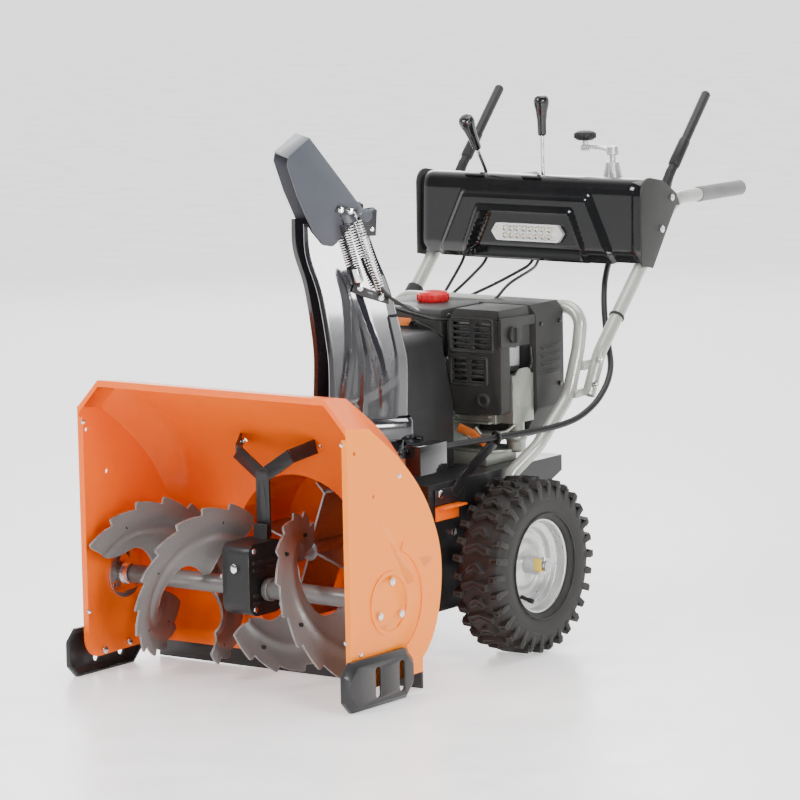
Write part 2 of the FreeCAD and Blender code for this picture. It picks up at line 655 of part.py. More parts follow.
def grooved_pulley(tip, deep, wide, start):
    # a V pulley about the body's Y axis
    return [("shaft_r", start), (tip, start), ("%s - %s" % (tip, deep), "%s + %s * 0.4" % (start, wide)),
            ("%s - %s" % (tip, deep), "%s + %s * 0.6" % (start, wide)), (tip, "%s + %s" % (start, wide)),
            ("shaft_r", "%s + %s" % (start, wide))]


def impeller_shaft():
    # worm, shaft and driven pulley in one line
    start = "auger_y - 30"
    shaft = rod("shaft_r", "pulley_y + pulley_w - auger_y + 30", (0, start, "auger_z + worm_rise"), along_y)
    worm = rod("worm_tip_r", 56, (0, "auger_y - 28", "auger_z + worm_rise"), along_y)
    pulley = turned("XY_Plane", "Y_Axis", grooved_pulley("auger_pulley_r", 10, "pulley_w", "pulley_y"))
    place(pulley, 0, 0, "auger_z + worm_rise")
    keep(fuse(shaft, worm, pulley), "impeller_shaft")


# ---- frame and drive -----------------------------------------------------------------------------
hex_y = size.disc_y + size.disc_wall + size.friction_r + size.face_gap
gear_gap = math.hypot(size.axle_y - hex_y, drum_z - size.axle_z)
gear_module = 2 * gear_gap / (size.gear_teeth + size.pinion_teeth)


def frame_shell():
    # a folded box open below and behind: front plate, two sides and the engine deck
    front = "drum_rear + face_gap"
    outer = prism("YZ_Plane", [(front, "frame_base"), ("frame_rear", "frame_base"),
                               ("frame_rear", "deck_z - 90"),
                               ("deck_rear", "deck_z - 30"), ("deck_rear", "deck_z"), (front, "deck_z")],
                  "2 * frame_half", both=True)
    room = block(("-frame_half + sheet_wall", "%s + sheet_wall" % front, "frame_base - 5"),
                 ("2 * frame_half - 2 * sheet_wall", "deck_rear", "deck_z - frame_base - sheet_wall + 5"))
    belt_slot = block(("-70", "pulley_y - 10", "deck_z - 10"), (140, 60, 20))
    shaft_hole = rod("shaft_r + 4", 40, (0, "drum_rear - 10", "auger_z + worm_rise"), along_y)
    axle_hole = rod("axle_r + 6", "3 * frame_half", ("-1.5 * frame_half", "axle_y", "axle_z"), along_x)
    hex_hole = rod("hex_r + 0.4", "3 * frame_half", ("-1.5 * frame_half", hex_y, drum_z), along_x)
    # the cross plate that carries the drive disc
    carrier = block(("-frame_half + sheet_wall", "disc_y - 12", "auger_z + worm_rise - 32"),
                    ("2 * frame_half - 2 * sheet_wall", 6, 64))
    carrier_hole = rod("shaft_r + shaft_gap", 40, (0, "disc_y - 20", "auger_z + worm_rise"), along_y)
    body = cut(outer, room, belt_slot, shaft_hole, axle_hole, hex_hole)
    keep(fuse(body, cut(carrier, carrier_hole)), "frame_shell")


def bottom_cover():
    low = ("-frame_half", "drum_rear + 3", "frame_base - 3")
    plate = block(low, ("2 * frame_half", "frame_rear - drum_rear - 3", 3))
    keep(plate, "bottom_cover", low[0], "front_y + " + low[1], low[2])


def axle():
    # the wheel axle, with its gear keyed on inside the frame
    shaft = Part.makeCylinder(size.axle_r, 2 * size.axle_half, Vector(-size.axle_half, 0, 0),
                              Vector(1, 0, 0))
    pitch_r = gear_module * size.gear_teeth / 2
    gear = toothed(pitch_r + 0.85 * gear_module, int(size.gear_teeth), size.gear_face, size.axle_r - 1,
                   gear_module)
    gear.translate(Vector(size.gear_x, 0, 0))
    keep(solid(shaft.fuse(gear), "axle"), "axle", 0, "front_y + axle_y", "axle_z")


def hex_shaft():
    # a hexagonal shaft with the pinion that meets the axle's gear
    half = size.frame_half + 6
    ring = [Vector(-half, size.hex_r * math.cos(math.radians(60 * k)),
                   size.hex_r * math.sin(math.radians(60 * k)))
            for k in range(7)]
    shaft = Part.Face(Part.makePolygon(ring)).extrude(Vector(2 * half, 0, 0))
    module = gear_module
    pinion = toothed(module * size.pinion_teeth / 2 + 0.85 * module, int(size.pinion_teeth), size.gear_face,
                     3, module)
    # turned so that one of its gaps faces a tooth of the axle's gear
    line = math.degrees(math.atan2(size.axle_z - drum_z, size.axle_y - hex_y))
    gear_step, pinion_step = 360 / size.gear_teeth, 360 / size.pinion_teeth
    away = (line + 180) % gear_step
    mesh = (gear_step / 2 - away) * size.gear_teeth / size.pinion_teeth
    pinion.rotate(Vector(0, 0, 0), Vector(1, 0, 0), line - mesh)
    pinion.translate(Vector(size.gear_x, 0, 0))
    body = solid(shaft.fuse(pinion), "hex_shaft")
    keep(body, "hex_shaft", 0, "front_y + %s" % hex_y, drum_z)


def friction_wheel():
    rim = rod("friction_r", "friction_w", ("-friction_w / 2", 0, 0), along_x)
    hub = rod("friction_r - 24", "2.4 * friction_w", ("-1.2 * friction_w", 0, 0), along_x)
    bore = rod("hex_r + 0.3", "4 * friction_w", ("-2 * friction_w", 0, 0), along_x)
    keep(cut(fuse(rim, hub), bore), "friction_wheel", "friction_x", "front_y + %s" % hex_y, drum_z)


def drive_disc():
    # the friction disc, its shaft and its pulley
    disc = rod("disc_r", "disc_wall", (0, "disc_y", 0), along_y)
    shaft = rod("shaft_r", "disc_y - drive_pulley_y", (0, "drive_pulley_y", 0), along_y)
    pulley = turned("XY_Plane", "Y_Axis", grooved_pulley("drive_pulley_r", 8, "pulley_w", "drive_pulley_y"))
    keep(fuse(disc, shaft, pulley), "drive_disc", 0, "front_y", "auger_z + worm_rise")


def crankshaft():
    # the engine's output end, with a pulley for each belt
    step = "(drive_pulley_y - pulley_y)"
    shaft = rod("crank_r", "engine_front - pulley_y + 4", (0, "pulley_y - 4", 0), along_y)
    first = turned("XY_Plane", "Y_Axis", grooved_pulley("crank_pulley_r", 8, "pulley_w", "pulley_y"))
    second = turned("XY_Plane", "Y_Axis", grooved_pulley("crank_pulley_r", 8, "pulley_w",
                                                         "pulley_y + " + step))
    keep(fuse(shaft, first, second), "crankshaft", 0, "front_y", "crank_z")


def belt_loop(lower_r, upper_r, y):
    # a belt's open band round two pulleys of one plane
    gap = size.crank_z - drum_z
    def band(extra):
        r0, r1 = lower_r + extra, upper_r + extra
        tilt = math.asin((r0 - r1) / gap)
        c, n = math.cos(tilt), math.sin(tilt)
        low = [Vector(r0 * c, 0, drum_z + r0 * n), Vector(0, 0, drum_z - r0),
               Vector(-r0 * c, 0, drum_z + r0 * n)]
        top = [Vector(-r1 * c, 0, size.crank_z + r1 * n), Vector(0, 0, size.crank_z + r1),
               Vector(r1 * c, 0, size.crank_z + r1 * n)]
        return Part.Wire([Part.Arc(*low).toShape(), Part.makeLine(low[2], top[0]), Part.Arc(*top).toShape(),
                          Part.makeLine(top[2], low[0])])
    ring = Part.Face(band(size.belt_deep)).cut(Part.Face(band(size.face_gap)))
    loop = ring.extrude(Vector(0, size.pulley_w * 0.36, 0))
    loop.translate(Vector(0, y + size.pulley_w * 0.32, 0))
    return loop


def drive_belts():
    inner = [(size.auger_pulley_r, size.crank_pulley_r, size.pulley_y),
             (size.drive_pulley_r, size.crank_pulley_r, size.drive_pulley_y)]
    loops = [belt_loop(lower, upper, y) for lower, upper, y in inner]
    keep(solid(Part.makeCompound(loops), "drive_belts"), "drive_belts")


# ---- wheels --------------------------------------------------------------------------------------
def tyres():
    half = "(tyre_w / 2)"
    tread = "(tyre_r - lug_deep)"
    outline = [("-%s + 13" % half, "rim_r + face_gap"), ("-%s + 13" % half, "rim_r + 8"),
               ("-%s" % half, "rim_r + 30", 12),
               ("-%s" % half, tread + " - 10", 10), ("-%s + 12" % half, tread, 6),
               ("%s - 12" % half, tread, 6),
               ("%s" % half, tread + " - 10", 10), ("%s" % half, "rim_r + 30", 12),
               ("%s - 13" % half, "rim_r + 8"),
               ("%s - 13" % half, "rim_r + face_gap"), ("%s - 21" % half, "rim_r + face_gap"),
               ("%s - 9" % half, "rim_r + 32", 8), ("%s - 12" % half, tread + " - 12", 6),
               ("-%s + 12" % half, tread + " - 12", 6), ("-%s + 9" % half, "rim_r + 32", 8),
               ("-%s + 21" % half, "rim_r + face_gap")]
    carcass = turned("XY_Plane", "X_Axis", outline)
    doc.recompute()
    root = size.tyre_r - size.lug_deep - 3
    lugs = []
    count = int(size.lug_count)
    for k in range(2 * count):
        side = 1 if k % 2 else -1
        lug = Part.makeBox(size.tyre_w * 0.46, 15, size.lug_deep + 3, Vector(0, -7.5, 0))
        lug.rotate(Vector(0, 0, 0), Vector(0, 0, 1), 24)
        shoulder = Part.makeBox(9, 15, 22, Vector(size.tyre_w * 0.46 - 9, -7.5, -8))
        shoulder.rotate(Vector(0, 0, 0), Vector(0, 0, 1), 24)
        lug = lug.fuse(shoulder)
        lug.translate(Vector(1.5, -6, root))
        if side < 0:
            lug = lug.mirror(Vector(0, 0, 0), Vector(1, 0, 0))
        lug.rotate(Vector(0, 0, 0), Vector(1, 0, 0), 180 * k / count)
        lugs.append(lug)
    drum = Part.makeCylinder(size.tyre_r, size.tyre_w, Vector(-size.tyre_w / 2, 0, 0), Vector(1, 0, 0))
    tyre = carcass.Shape.fuse(lugs).common(drum)
    pair = [tyre.translated(Vector(s * size.wheel_x, 0, 0)) for s in (-1, 1)]
    keep(solid(Part.makeCompound(pair), "tyres"), "tyres", 0, "front_y + axle_y", "axle_z")


def wheel_rims():
    # a rolled barrel, a deep dish and a hub tube pinned on the axle, one each side
    pair = []
    flat = "(tyre_w / 2 - 13)"
    for s in (-1, 1):
        barrel = [("-%s - 3" % flat, "rim_r + 7"), ("-%s - face_gap" % flat, "rim_r + 7"),
                  ("-%s - face_gap" % flat, "rim_r"),
                  ("-18", "rim_r"), ("-12", "rim_r - 14"), ("12", "rim_r - 14"), ("18", "rim_r"),
                  ("%s + face_gap" % flat, "rim_r"), ("%s + face_gap" % flat, "rim_r + 7"),
                  ("%s + 3" % flat, "rim_r + 7"),
                  ("%s + 3" % flat, "rim_r - rim_wall"), ("20", "rim_r - rim_wall"),
                  ("14", "rim_r - 14 - rim_wall"),
                  ("-14", "rim_r - 14 - rim_wall"), ("-20", "rim_r - rim_wall"),
                  ("-%s - 3" % flat, "rim_r - rim_wall")]
        dish = [("%d" % (s * 4 - 1.5), "rim_r - 15"), ("%d" % (s * 4 + 2), "rim_r - 15"),
                ("%d" % (s * 4 + 2), "hub_r - 2"),
                ("%d" % (s * 4 - 1.5), "hub_r - 2")]
        inner, outer = ("hub_in - wheel_x", "hub_out - wheel_x")
        if s < 0:
            inner, outer = "-(%s)" % outer, "-(%s)" % inner
        hub = [(inner, "axle_r"), (outer, "axle_r"), (outer, "hub_r"), (inner, "hub_r")]
        rim = turned("XY_Plane", "X_Axis", barrel, dish, hub)
        pair.append(place(rim, "%d * wheel_x" % s, 0, 0))
    group = doc.addObject("Part::Compound", "rims")
    group.Links = pair
    keep(group, "wheel_rims", 0, "front_y + axle_y", "axle_z")


def wheel_pins():
    # linch pins outside the hubs, each with its spring ring
    items = []
    for s in (-1, 1):
        x = s * (size.hub_out + 5)
        ring = Part.makeCylinder(size.axle_r + 5, 3, Vector(x - 1.5, 0, 0), Vector(1, 0, 0))
        ring = ring.cut(Part.makeCylinder(size.axle_r, 3, Vector(x - 1.5, 0, 0), Vector(1, 0, 0)))
        head = Part.makeCylinder(3, 14, Vector(x, 0, size.axle_r + 2))
        items.append(ring.fuse(head))
    keep(solid(Part.makeCompound(items), "wheel_pins"), "wheel_pins", 0, "front_y + axle_y", "axle_z")


# ---- engine --------------------------------------------------------------------------------------
def engine():
    crank_bore = rod("crank_r + shaft_gap", 60, (0, "engine_front - 10", "crank_z"), along_y)
    case = fuse(block(("-78", "engine_front + 6", "deck_z"), (218, "fan_y - engine_front - 8", 24)),
                block(("-62", "engine_front + 6", "deck_z + 20"), (118, "fan_y - engine_front - 8", 182)),
                rod(28, 12, (0, "engine_front", "crank_z"), along_y))
    keep(cut(case, crank_bore), "crankcase")
    fins = [block(("56.3", "engine_front + 16", "crank_z - 22 + %d" % z),
                  (84, 88, 4)) for z in range(0, 84, 12)]
    core = block(("56.3", "engine_front + 26", "crank_z - 22"), (92, 68, 76))
    keep(fuse(core, *fins), "cylinder_head")
    muffler = prism("XZ_Plane", [("guard_x + 12", "crank_z + 72", 16),
                                 ("guard_x + guard_w - 14", "crank_z + 72", 16),
                                 ("guard_x + guard_w - 14", "guard_top - 12", 16),
                                 ("guard_x + 12", "guard_top - 12", 16)],
                    70, "-engine_front - 12", back=True)
    keep(muffler, "muffler")


def muffler_guard():
    # a moulded cover with two panels of louvres, open behind
    w = "(guard_x + guard_w)"
    outline = [("guard_x + 2", "guard_base + 74"), ("guard_x - 26", "guard_base + 30", 8),
               ("guard_x - 26", "guard_base + 8", 6),
               ("guard_x + 30", "guard_base", 8), (w, "guard_base", 8), (w, "guard_top - 16"),
               (w + " - 4", "guard_top"),
               ("guard_x + 22", "guard_top"), ("guard_x + 2", "guard_top - 26")]
    outer = prism("XZ_Plane", outline, "guard_deep", "-engine_front", back=True)
    inner = [("guard_x + 5", "guard_base + 73"), ("guard_x - 22", "guard_base + 30", 5),
             ("guard_x - 22", "guard_base + 11", 3),
             ("guard_x + 30", "guard_base + 4", 5), (w + " - 4", "guard_base + 4", 5),
             (w + " - 4", "guard_top - 18"),
             (w + " - 7", "guard_top - 4"), ("guard_x + 24", "guard_top - 4"),
             ("guard_x + 5", "guard_top - 28")]
    room = prism("XZ_Plane", inner, "guard_deep", "-engine_front - 4", back=True)
    slots = []
    for x, z, wide, rows in ((14, 122, 38, 5), (62, 122, 38, 5), (14, 62, 30, 4), (54, 62, 30, 4)):
        slots += [block(("guard_x + %d" % x, "engine_front - 2", "guard_base + %g" % (z + 11 * k)),
                        (wide, 10, 6))
                  for k in range(rows)]
    # the open lower rear corner, where the carburettor stands
    corner = block(("guard_x + 30", "engine_front + 30", "guard_base - 5"), ("guard_w", 200, 130))
    # and the open underside behind its front wall, round the cylinder
    under = block(("guard_x - 30", "engine_front + 4.5", "guard_base - 5"), ("guard_w + 22", 200, 85))
    keep(cut(outer, room, corner, under, *slots), "muffler_guard")


def side_cover():
    # the strip beside the guard that carries the choke knob
    x = "guard_x + guard_w + face_gap"
    outline = [("engine_front - 6", "crank_z + 130"), ("fan_y - 66", "crank_z + 124"),
               ("fan_y - 44", "crank_z + 138"),
               ("fan_y - 44", "guard_top - 34"), ("fan_y - 2", "guard_top - 34"),
               ("fan_y - 2", "guard_top - 17"),
               ("engine_front - 6", "guard_top - 14")]
    plate = prism("YZ_Plane", outline, 6, x)
    knob_hole = rod("7", 30, ("%s - 5" % x, "fan_y - 80", "crank_z + 150"), along_x)
    keep(cut(plate, knob_hole), "side_cover")
    knob = fuse(rod(15, 8, (7, 0, 0), along_x), rod("7 - shaft_gap", 7, (0, 0, 0), along_x),
                block((15, -3, -14), (5, 6, 28)))
    keep(knob, "choke_knob", x, "front_y + fan_y - 80", "crank_z + 150")


def carburettor():
    body = fuse(block(("guard_x + 92", "engine_front + 34", "crank_z - 20"), (34, 68, 90)),
                rod(15, 50, ("guard_x + 108", "engine_front + 70", "crank_z - 62")))
    keep(body, "carburettor")


def fan_housing():
    # the blower housing across the engine's rear, with a round starter cover
    right = "cover_x - 2"
    outline = [("-140", "deck_z + 42", 14), ("%s - 30" % right, "deck_z + 42", 14),
               (right, "deck_z + 100", 8),
               (right, "guard_top - 18"), ("%s - 14" % right, "guard_top"), ("guard_x - 1", "guard_top"),
               ("guard_x - 1", "tank_base - 4"), ("-140", "tank_base - 4", 14)]
    shell = prism("XZ_Plane", outline, "fan_deep", "-fan_y", back=True)
    ribs = [block((right, "fan_y + 14", "crank_z + %d" % z),
                  (2, "fan_deep - 28", 3)) for z in (66, 82, 98, 114)]
    cap = rod(92, 14, (0, "fan_y + fan_deep", "crank_z"), along_y)
    room = rod(70, "fan_deep - 8", (0, "fan_y - 1", "crank_z"), along_y)
    guide = rod(6.2, 40, (-66, "fan_y + fan_deep - 20", "crank_z + 30"), along_y)
    keep(cut(fuse(shell, cap, *ribs), room, guide), "fan_housing")
    handle = fuse(rod(6, 22, (0, 0, 0), along_y), prism("XZ_Plane",
                                                        [(-24, -8, 6), (24, -8, 6), (24, 8, 6),
                                                         (-24, 8, 6)], 14,
                                                        "-22", back=True))
    keep(handle, "starter_handle", -66, "front_y + fan_y + fan_deep - 6", "crank_z + 30")


def fuel_tank():
    outline = [("tank_y", "tank_base", 12), ("tank_y + tank_deep", "tank_base", 12),
               ("tank_y + tank_deep", "tank_top", 10),
               ("tank_y", "tank_top", 10)]
    outer = prism("YZ_Plane", outline, "tank_w", "tank_x")
    room = block(("tank_x + 4", "tank_y + 4", "tank_base + 4"),
                 ("tank_w - 8", "tank_deep - 8", "tank_top - tank_base - 8"))
    neck = rod("cap_r - 10", 20, ("cap_x", "cap_y", "tank_top - 10"))
    keep(cut(outer, room, neck), "fuel_tank")
    cap = fuse(rod("cap_r", "cap_tall", (0, 0, 0)), rod("cap_r - 11", 6, (0, 0, -6)))
    keep(cap, "fuel_cap", "cap_x", "front_y + cap_y", "tank_top + 0.2")


def belt_cover():
    # a hollow hood over the belts, open below and behind
    top = "belt_cover_top"
    outer = prism("XZ_Plane", [("-85", "deck_z"), ("85", "deck_z"), ("85", "crank_z + 20", 30),
                               ("58", top, 26),
                               ("-58", top, 26), ("-85", "crank_z + 20", 30)], "190", "-drum_rear - 27",
                  back=True)
    room = prism("XZ_Plane", [("-82", "deck_z - 5"), ("82", "deck_z - 5"), ("82", "crank_z + 19", 27),
                              ("56", top + " - 3", 23),
                              ("-56", top + " - 3", 23), ("-82", "crank_z + 19", 27)], "190",
                 "-drum_rear - 30", back=True)
    keep(cut(outer, room), "belt_cover")


# ---- chute ---------------------------------------------------------------------------------------
# The chute is drawn facing +X about its own turning axis, and turned to its rest heading.
chute_turn = FreeCAD.Rotation(Vector(0, 0, 1), size.chute_heading)
chute_at = ("outlet_x", "front_y + outlet_y", "chute_rest_z")


def chute_base():
    # the fixed ring on the spout, three clips over the turning ring, and the worm's box
    ring = cut(rod("ring_r - 3", 10, ("outlet_x", "outlet_y", "outlet_top - 10")),
               rod("outlet_r + sheet_wall", 10, ("outlet_x", "outlet_y", "outlet_top - 10")))
    clips = []
    for turn in (70, 150, 215, 320):
        clip = Part.makeBox(7, 26, 20, Vector(size.ring_r + 1, -13, -8)).fuse(
            Part.makeBox(16, 26, 4, Vector(size.ring_r - 8, -13, 8)))
        clip = clip.fuse(Part.makeBox(20, 26, 4, Vector(size.ring_r - 12, -13, -8)))
        clip.rotate(Vector(0, 0, 0), Vector(0, 0, 1), turn)
        clips.append(place(solid(clip, "clip"), "outlet_x", "outlet_y", "chute_rest_z"))
    half = "worm_box_half"
    outer = block(("worm_x - %s" % half, "worm_box_y", "worm_z - 40"),
                  ("2 * %s" % half, "worm_box_len", "40 + 13"))
    room = block(("worm_x - %s + 3" % half, "worm_box_y + 4", "worm_z - 13"),
                 ("2 * %s - 6" % half, "worm_box_len - 8", 23))
    side_slot = block(("worm_x - %s - 5" % half, "worm_box_y - 5", "worm_z - 3"),
                      (12.5, "worm_box_len + 1", 12))
    bore = rod("worm_r - 3 + shaft_gap", "worm_box_len", ("worm_x", "worm_box_y + 4", "worm_z"), along_y)
    arm = block(("outlet_x + ring_r - 14", "outlet_y - 8", "outlet_top - 10"), (12, 50, 8))
    keep(fuse(cut(outer, room, side_slot, bore), ring, arm, *clips), "chute_base")


def chute_worm():
    body = fuse(rod("worm_r", "worm_box_len - 12", (0, 6, 0), along_y),
                rod("worm_r - 3", "worm_box_len", (0, 5, 0), along_y))
    keep(body, "chute_worm", "worm_x", "front_y + worm_box_y", "worm_z")


# side view of the channel: height, front edge, side-to-back crease, back, and the back's half width share
chute_levels = [(467, 92, -30, -60, 0.60), (573, 90, -36, -62, 0.60), (649, 98, -24, -45, 0.60),
                (706, 108, -12, -30, 0.62), (769, 126, 4, -6, 0.66), (826, 128, 22, 10, 0.7)]


def chute_channel():
    wall = size.chute_wall
    low, high = chute_levels[0][0], chute_levels[-1][0]
    base = size.collar_top - 3
    top = size.hinge_z - 12

    def section(level, inset):
        z, front, crease, back, share = level
        rise = (z - low) / (high - low)
        half = size.chute_half + (size.chute_top_half - size.chute_half) * rise
        half, flat = half - inset, half * share - inset * 0.6
        crease, back = crease + inset, back + inset
        front = front + (5 if inset else 0)
        return [Vector(s, t, base + rise * (top - base) - size.chute_rest_z) for s, t in
                ((front, half), (crease, half), (back, flat), (back, -flat), (crease, -half),
                 (front, -half))]

    def shell(inset):
        rings = [section(level, inset) for level in chute_levels]
        return Part.makeLoft([Part.makePolygon(ring + ring[:1]) for ring in rings], True, True)

    outer = shell(0)
    hollow = shell(wall)
    channel = outer.cut(hollow)
    half = size.chute_half
    front, back = 92, -66
    shelf = 22
    collar = Part.makeBox(front - back, 2 * half, base - size.chute_rest_z - shelf,
                          Vector(back, -half, shelf))
    collar = collar.cut(Part.makeBox(front - back - 2 * wall, 2 * half - 2 * wall, 400,
                                     Vector(back + wall, -half + wall, shelf + wall)))
    neck = Part.makeCylinder(size.outlet_r + 8, shelf + 1)
    body = Part.makeCylinder(size.ring_r, size.ring_wall).fuse(neck).fuse(collar).fuse(channel)
    body = body.cut(Part.makeCylinder(size.outlet_r, shelf + 2 * wall))
    for k in range(36):
        notch = Part.makeCylinder(2.6, size.ring_wall, Vector(size.ring_r + 0.6, 0, 0))
        notch.rotate(Vector(0, 0, 0), Vector(0, 0, 1), 10 * k + 5)
        body = body.cut(notch)
    keep(solid(body.removeSplitter(), "chute_channel"), "chute_channel", *chute_at, chute_turn)


def deflector():
    # a hood over the channel's top, hinged on its back edge
    gap = size.deflector_gap
    half = size.chute_top_half + gap + size.chute_wall
    z0 = size.hinge_z
    outline = [("hinge_s + 4", z0 + 10), ("hinge_s + 100", z0 + 143), ("hinge_s + 139", z0 + 111),
               ("hinge_s + 142", z0 + 94),
               ("hinge_s + 125", z0 + 39), ("hinge_s + 99", z0 - 25), ("hinge_s + 79", z0 - 51, 8),
               ("hinge_s + 62", z0 - 54, 8),
               ("hinge_s + 48", z0 - 42, 8)]
    outer = prism("XZ_Plane", outline, 2 * half, both=True)
    room = prism("XZ_Plane", [("hinge_s + 4", z0 - 100), ("hinge_s + 6", z0 + 7),
                              ("hinge_s + 100", z0 + 138),
                              ("hinge_s + 160", z0 + 92), ("hinge_s + 160", z0 - 100)],
                 2 * half - 2 * size.chute_wall, both=True)
    pin = rod("hinge_pin_r", 2 * half, ("hinge_s", -half, "hinge_z"), along_y)
    cheeks = [rod("3 * hinge_pin_r", "chute_wall", ("hinge_s", t, "hinge_z"), along_y)
              for t in (-half, half - size.chute_wall)]
    keep(fuse(cut(outer, room), pin, *cheeks), "deflector", "outlet_x", "front_y + outlet_y", 0, chute_turn)


def chute_spring():
    # the spring that lifts the deflector, on the channel's near side
    s, t = size.hinge_s + 34, size.chute_half + 6
    tube = Part.makeCylinder(7, 96, Vector(s, t, 738)).cut(Part.makeCylinder(4.5, 96, Vector(s, t, 738)))
    hooks = Part.makeCylinder(2, 12, Vector(s, t - 5.7,
                                            834)).fuse(Part.makeCylinder(2, 12, Vector(s, t - 5.7, 726)))
    keep(solid(tube.fuse(hooks), "chute_spring"), "chute_spring", "outlet_x", "front_y + outlet_y", 0,
         chute_turn)


def chute_point(s, t, z):
    # a point drawn beside the chute, in the machine's own axes before front_y
    turned_to = chute_turn.multVec(Vector(s, t, 0))
    return (size.outlet_x + turned_to.x, size.outlet_y + turned_to.y, z)


chute_cable_route = [chute_point(18, 80, 760), chute_point(6, 80, 725), chute_point(-16, 84, 694),
                     chute_point(-48, 80, 672), chute_point(-80, 50, 658), chute_point(-94, 0, 652),
                     chute_point(-98, -56, 653), chute_point(-88, -112, 653), (22, 502, 652)]
deflector_cable_route = [(21.6, 502.15, 652), (-14, 515.5, 651.4), (-36, 548, 643), (-22, 586, 630),
                         (14, 606, 617),
                         (47, 628, 606), (53, 676, 600), (51, 730, 601), (51, 784, 606), (51, 826, 626),
                         (50, 866, 648), (46, 912, 658),
                         (36, 962, 664), (24, 1000, 668), (14, 1030, 684), (10, 1046, 706)]
sheath_route = [(141, 1100, 714), (142, 1090, 690), (152, 1060, 668), (170, 1022, 644), (190, 988, 612),
                (212, 958, 572), (238, 930, 532), (262, 902, 500), (277, 866, 472), (283, 820, 442),
                (280, 762, 418), (270, 700, 409), (254, 628, 407), (236, 556, 406), (224, 484, 406),
                (216, 440, 406),
                (215, 412, 406)]


def cable(node, points, r, note):
    radii = easy_radii(points)
    shape = pipe(points, radii, r)
    length = route(points, radii).Length
    print("%s: length %.0f, radii %s" % (note, length, " ".join("%.0f" % radius for radius in radii)))
    print("%s: volume over section times length %.4f" % (note, shape.Volume / (length * math.pi * r * r)))
    return shape


def cables():
    keep(solid(cable("chute_cable", chute_cable_route, size.cable_r, "chute cable"), "chute_cable"),
         "chute_cable")
    keep(solid(cable("deflector_cable", deflector_cable_route, size.cable_r, "deflector cable"),
               "deflector_cable"),
         "deflector_cable")
    keep(solid(cable("chute_shaft_sheath", sheath_route, size.sheath_r, "flexible shaft"),
               "chute_shaft_sheath"),
         "chute_shaft_sheath")
    lines = []
    for k, x in enumerate((-163, -108, 2)):
        side = -184.5 - 7 * k
        points = [(x, 1040, 706), (x - 3, 1026, 670), (0.7 * x + 0.3 * side, 992, 634),
                  (0.2 * x + 0.8 * side, 950, 584),
                  (side, 918, 528), (side, 892, 466),
                  (side, 862, 404), (side, 812, 354), (side, 756, 318), (side, 706, 282)]
        lines.append(cable("control_cables", points, size.cable_r, "control cable %d" % (k + 1)))
    keep(solid(Part.makeCompound(lines), "control_cables"), "control_cables")


def shaft_guide_bracket():
    # a flat arm from the frame's side up to a ring round the flexible shaft
    x = size.frame_half + size.face_gap
    ring_at, ring_on = Vector(*sheath_route[13]), Vector(*sheath_route[14])
    way = (ring_on - ring_at).normalize()
    foot = Part.makeBox(4, 92, 28, Vector(x, 428, 292))
    arm = bar((x + 4, 486, 306), (x + 14, 516, 344), 24, 4, (0, 1, -0.4))
    rise = bar((x + 13, 514, 341), (ring_at.x - 4, ring_at.y - 6, ring_at.z - 10), 24, 4, (0, 1, -0.4))
    body = foot.fuse(arm).fuse(rise)
    for shift in (-7, 3):
        ring = Part.makeTorus(size.sheath_r + 4, 3, ring_at + way * shift, way)
        body = body.fuse(ring)
    body = body.cut(Part.makeCylinder(size.sheath_r + 0.6, 60, ring_at - way * 30, way))
    keep(solid(max(body.Solids, key=lambda s: s.Volume), "shaft_guide_bracket"), "shaft_guide_bracket")


# ---- handles -------------------------------------------------------------------------------------
def lower_handle():
    # one bent tube: up from the frame's sides, clear of the tyres, and across behind the engine
    x, near = size.lower_x, size.frame_half + size.handle_r + 3
    side = [(near, 612, 215), (near, 650, 318), (x, 712, 368), (x, 817, 450), (x, 852, 534), (x, 868, 612)]
    points = side + [(-px, y, z) for px, y, z in side[::-1]]
    bends = [60, 60, 90, 90, 40]
    shape = pipe(points, bends + bends[::-1], size.handle_r, size.handle_bore)
    keep(solid(shape, "lower_handle"), "lower_handle")


def upper_handles():
    tubes = []
    for s in (-1, 1):
        x = s * size.upper_x
        points = [(x, 846, 449), (x, 884, 524), (x, 884 + size.grip_z - 528, size.grip_z),
                  (x, size.handle_end - 4, size.grip_z)]
        tubes.append(pipe(points, [120, 90], size.handle_r, size.handle_bore))
    keep(solid(Part.makeCompound(tubes), "upper_handles"), "upper_handles")


def hand_grips():
    group = doc.addObject("Part::Compound", "grips")
    items = []
    for s in (-1, 1):
        at = ("%d * upper_x" % s, "handle_end - grip_len", "grip_z")
        inside = ("%d * upper_x" % s, "handle_end - grip_len - 4", "grip_z")
        items.append(cut(rod("grip_r", "grip_len", at, along_y),
                         rod("handle_r", "grip_len", inside, along_y)))
    group.Links = items
    keep(group, "hand_grips")


